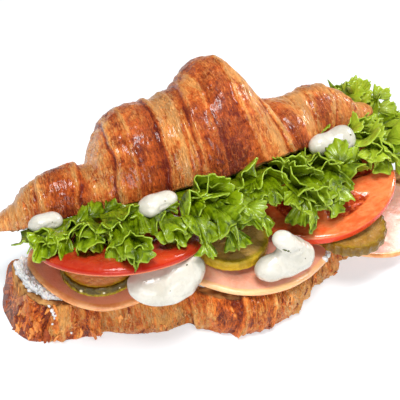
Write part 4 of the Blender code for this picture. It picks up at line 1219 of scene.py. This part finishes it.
def scatter(name, grain_mesh, marks, finish, sizes, turn, rough, seed):
    """A piece of one grain copied to marks: place, way off the surface, long way, size and tone of each."""
    places, facing, along, big, tone = (np.array(column, float) for column in zip(*marks))
    mesh = bpy.data.meshes.new(name)
    mesh.from_pydata(((places + SHIFT) * MM).tolist(), [], [])
    give_values(mesh, {"facing": facing, "along": along, "big": big, "tone": tone})
    piece, model = add_object(name, mesh), add_object(name + "_grain", grain_mesh)
    copying = piece.modifiers.new("copying", "NODES")
    copying.node_group = scattering
    values = {"Grain": model, "Smallest": sizes[0], "Largest": sizes[1], "Turn": turn}
    values.update({"Rough": rough * MM, "Seed": seed, "Material": finish})
    for item in scattering.interface.items_tree:
        if item.name in values:
            copying[item.identifier] = values[item.name]
    make_plain(piece)
    bpy.data.objects.remove(model)
    spots = read(piece.data.vertices, "co")
    spots[:, 2] = np.maximum(spots[:, 2], LOWEST)
    piece.data.vertices.foreach_set("co", spots.ravel())
    return piece


def curled_plate(width, length, thick, curl):
    """A closed thin plate in metres, narrow at its ends, with one end bent up off the surface."""
    rows, columns = 8, 4
    u, v = np.linspace(-1, 1, columns), np.linspace(-1, 1, rows)[:, None]
    narrow = (1 - 0.75 * np.abs(v) ** 2.2) * (1 + 0.25 * np.sin(5 * v + 1))
    high = curl * np.clip(v + 0.3, 0, None) ** 2 - 0.18 * width * u**2
    low = stack(u * width / 2 * narrow, v * length / 2, high)
    faces = sheet_faces(rows, columns)
    faces += [[k + rows * columns for k in (face[0], *face[:0:-1])] for face in faces]
    index = np.arange(rows * columns).reshape(rows, columns)
    edge = np.concatenate([index[0], index[1:, -1], index[-1, -2::-1], index[-2:0:-1, 0]]).tolist()
    faces += [(a, a + rows * columns, b + rows * columns, b) for a, b in zip(edge, edge[1:] + edge[:1])]
    mesh = bpy.data.meshes.new("curled_plate")
    mesh.from_pydata((np.concatenate([low + (0, 0, thick), low]).reshape(-1, 3) * MM).tolist(), [], faces)
    return mesh


def marks_from(tree, rays):
    """Marks where rays meet a surface, the long way of each as near upright as the surface lets it be."""
    marks, upright = [], Vector((0, 0, 1))
    for start, way, big, tone in rays:
        spot, facing, _, _ = tree.ray_cast(Vector(start), Vector(way))
        if spot is not None:
            marks.append((spot, facing, upright - facing * upright.dot(facing), big, tone))
    return marks


chance = np.random.default_rng(90)
rays = []
for count, left, right, foot, top, big in FLAKES:
    for _ in range(count):
        x, z = chance.uniform(left, right), chance.uniform(foot, top)
        lean = 0.5 if x < -60 else 0
        size, tone = big * chance.uniform(0.55, 1.25), chance.uniform(0, 1)
        rays.append(((x - 87 * lean, -90, z), (lean, 1, 0), size, tone))
for _ in range(END_FLAKES):
    start = (-130, chance.uniform(-22, 16), chance.uniform(1.5, 16))
    rays.append((start, (1, 0, 0), chance.uniform(0.6, 1.3), chance.uniform(0, 1)))
flake, here, place = new_finish("pastry_flake", Specular_IOR_Level=0.3, Roughness=0.42)
speck = here.speckle(place, 900.0, 3.0, 0.6)
baked = (here.given("tone") + (speck - 0.5) * 0.7).coloured(
    (0.0, (0.90, 0.36, 0.085)), (0.3, (0.66, 0.19, 0.026)),
    (0.7, (0.38, 0.070, 0.008)), (1.0, (0.16, 0.018, 0.003)),
)
wire(flake, speck * 0.0004, Base_Color=baked)
plate, marks = curled_plate(1.9, 5.0, 0.20, 0.30), marks_from(surface(croissant_base), rays)
flakes = scatter("base_pastry_flakes", plate, marks, flake, (0.8, 1.15), (0.16, 0.10, 0.35), 0.5, 4)
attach(flakes, "root")


# Cheese crumbs
# Bits of the dry, crumbly cheese: they cover its torn end, and a few fell on the crust and beside the curl
# of sauce. Each is one small rough ball, pressed a little into what it lies on.

# Crumbs that fell on the lower half and on the middle slice of ham: near which point, and how large
FALLEN = (
    (-67.3, -10.7, 14.6, 2.0), (-66.6, -11.8, 13.2, 2.4), (-67.2, -11.9, 11.5, 1.8), (-67.7, -9.8, 16.0, 1.5),
    (-60.5, -17.0, 4.0, 1.1), (-68.5, -12.5, 9.0, 0.9), (44.5, -24.0, 12.0, 0.9), (47.0, -22.0, 12.5, 1.2),
)
ON_HAM = (
    (40.5, -29.5, 16.5, 2.8), (42.5, -31.0, 15.5, 2.2), (45.5, -29.5, 15.0, 2.8), (44.0, -27.0, 17.0, 2.4),
    (47.5, -26.0, 15.5, 1.8),
)
# How many crumbs are thrown at the torn end, and which way
THROWN, AIM = 700, np.array((0.36, 0.74, -0.57))


def ball(name, high):
    """A round grain a millimetre across, in metres, and so many millimetres high."""
    mesh = bpy.data.meshes.new(name)
    with reworked(mesh) as shape:
        bmesh.ops.create_icosphere(shape, subdivisions=2, radius=0.5 * MM)
        bmesh.ops.scale(shape, vec=(1, 1, high), verts=shape.verts)
    mesh.shade_smooth()
    return mesh


def marks_near(tree, spots):
    """Marks on the surface at the points nearest to some spots, each given with its size."""
    marks = []
    for *spot, big in spots:
        place, facing, _, _ = tree.find_nearest(Vector(spot))
        marks.append((place, facing, Vector((1, 0, 0)) - facing * facing.x, big, 0.5))
    return marks


starts = [(chance.uniform(-75, -38), chance.uniform(-26, 14), 18) - 80 * AIM for _ in range(THROWN)]
sizes = 0.5 + 1.5 * chance.uniform(0, 1, THROWN) ** 2.5
marks = marks_from(surface(cheese_spread), [(start, AIM, big, 0.5) for start, big in zip(starts, sizes)])
marks += marks_near(surface(croissant_base), FALLEN)
marks += marks_near(surface(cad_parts["ham_middle"]), ON_HAM)
crumbs = scatter("cheese_crumbs", ball("crumb", 0.8), marks, cheese, (0.8, 1.1), (0.5, 0.5, 3.1), 0.7, 7)
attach(crumbs, "root")


# Herb specks
# Chopped dark green herbs stirred into the white sauce: flat scraps that show where they reach its surface.
# Each is one small rough flake, copied to a spot on a dollop.

HERBS = {
    "sauce_front_curl": (
        (15.0, -40.0, 38.7, 0.9), (15.7, -40.0, 38.5, 1.2), (16.5, -40.0, 38.0, 1.1),
        (16.9, -40.0, 37.2, 0.6), (13.0, -40.0, 36.0, 0.5), (20.2, -41.8, 35.7, 0.45),
        (22.5, -41.0, 31.0, 0.5), (12.0, -40.0, 26.0, 0.4),
    ),
    "sauce_front_large": ((-21.6, -33.5, 37.1, 0.7), (-30.3, -37.8, 31.4, 0.45)),
    "sauce_right_tip": ((63.0, -6.5, 54.2, 0.8), (57.7, -6.2, 53.1, 0.6)),
    "sauce_under_lid": ((-22.8, -13.5, 52.2, 0.6), (-19, -14, 50, 0.5)),
    "sauce_left_tip": ((-59.2, 2.9, 44.5, 0.5),),
}

herbs, here, place = new_finish("chopped_herbs", Roughness=0.5, Specular_IOR_Level=0.3)
speck = here.speckle(place, 1500.0, 2.0).between(0.3, 0.7)
wire(herbs, None, Base_Color=speck.blend((0.035, 0.045, 0.006), (0.12, 0.13, 0.03)))
marks = []
for node, spots in HERBS.items():
    marks += marks_near(surface(bpy.data.objects[node + "_swirl"]), spots)
specks = scatter("herb_specks", ball("speck", 0.35), marks, herbs, (0.9, 1.1), (0.2, 0.2, 3.1), 0.7, 11)
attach(specks, "root")


# Pickle seeds
# Pale flat seeds of the pickled cucumber that shine through the cut side of the left slice.
# Each is one small flattened ball, half sunk into the slice.

SEEDS = ((-56.3, -15.9, 24.6, 1.3), (-49.1, -20.4, 24.4, 1.1), (-43.0, -20.6, 24.9, 0.6))

seed_coat, here, place = new_finish("pickle_seed", Roughness=0.25, Specular_IOR_Level=0.5)
speck = here.speckle(place, 800.0, 2.0).between(0.3, 0.7)
wire(seed_coat, None, Base_Color=speck.blend((0.80, 0.70, 0.42), (0.95, 0.90, 0.70)))
marks = marks_near(surface(bpy.data.objects["pickle_left_slice"]), SEEDS)
seeds = scatter("pickle_seeds", ball("seed", 0.5), marks, seed_coat, (0.9, 1.1), (0.1, 0.1, 0.6), 0.2, 13)
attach(seeds, "root")


# Table, light and camera
# A white table under one wide soft light from above, with a window on the right that makes the glaze shine.
# The camera looks down on the open side of the sandwich from its left.

AZIMUTH, ELEVATION, DISTANCE, AIM_HEIGHT, TABLE_HALF = math.radians(-26), math.radians(35), 432, 38, 4.0

table = bpy.data.meshes.new("table")
corners = [(TABLE_HALF * i, TABLE_HALF * j, 0) for i, j in ((-1, -1), (1, -1), (1, 1), (-1, 1))]
table.from_pydata(corners, [], [(0, 1, 2, 3)])
white, here, place = new_finish(
    "white_table",
    Roughness=0.7,
    Specular_IOR_Level=0.2,
    Emission_Color=(0.92, 0.97, 1.0, 1),
    Emission_Strength=0.56,
)
wire(white, None, Base_Color=here.speckle(place, 3.0).blend((0.49, 0.50, 0.51), (0.53, 0.54, 0.55)))
table.materials.append(white)
add_object("table", table)

world = bpy.data.worlds.new("room")
world.use_nodes = True
world.node_tree.nodes["Background"].inputs["Color"].default_value = (0.95, 0.98, 1.0, 1)
world.node_tree.nodes["Background"].inputs["Strength"].default_value = 0.16
bpy.context.scene.world = world

for name, place, aim, size, power in (
    ("overhead", (-0.10, -0.22, 0.75), (0, 0, 0.03), (0.30, 0.30), 5.9),
    ("window", (0.60, 0.05, 0.40), (0, 0, 0.04), (0.22, 0.22), 2.7),
    ("front_fill", (-0.40, -0.76, 0.30), (-0.02, 0, 0.02), (0.5, 0.4), 3.7),
):
    lamp = bpy.data.lights.new(name, "AREA")
    lamp.shape, lamp.size, lamp.size_y, lamp.energy = "RECTANGLE", *size, power
    held = add_object(name, lamp)
    held.location = place
    held.rotation_euler = (Vector(aim) - Vector(place)).to_track_quat("-Z", "Y").to_euler()

eye = bpy.data.cameras.new("photo_camera")
eye.lens, eye.sensor_width, eye.sensor_fit = 100, 36, "HORIZONTAL"
camera = add_object("photo_camera", eye)
level = math.cos(ELEVATION)
back = Vector((math.sin(AZIMUTH) * level, -math.cos(AZIMUTH) * level, math.sin(ELEVATION)))
camera.location = (Vector((0, 0, AIM_HEIGHT)) + back * DISTANCE + Vector(SHIFT)) * MM
camera.rotation_euler = (-back).to_track_quat("-Z", "Y").to_euler()
bpy.context.scene.camera = camera
bpy.context.scene.view_settings.view_transform = "Standard"
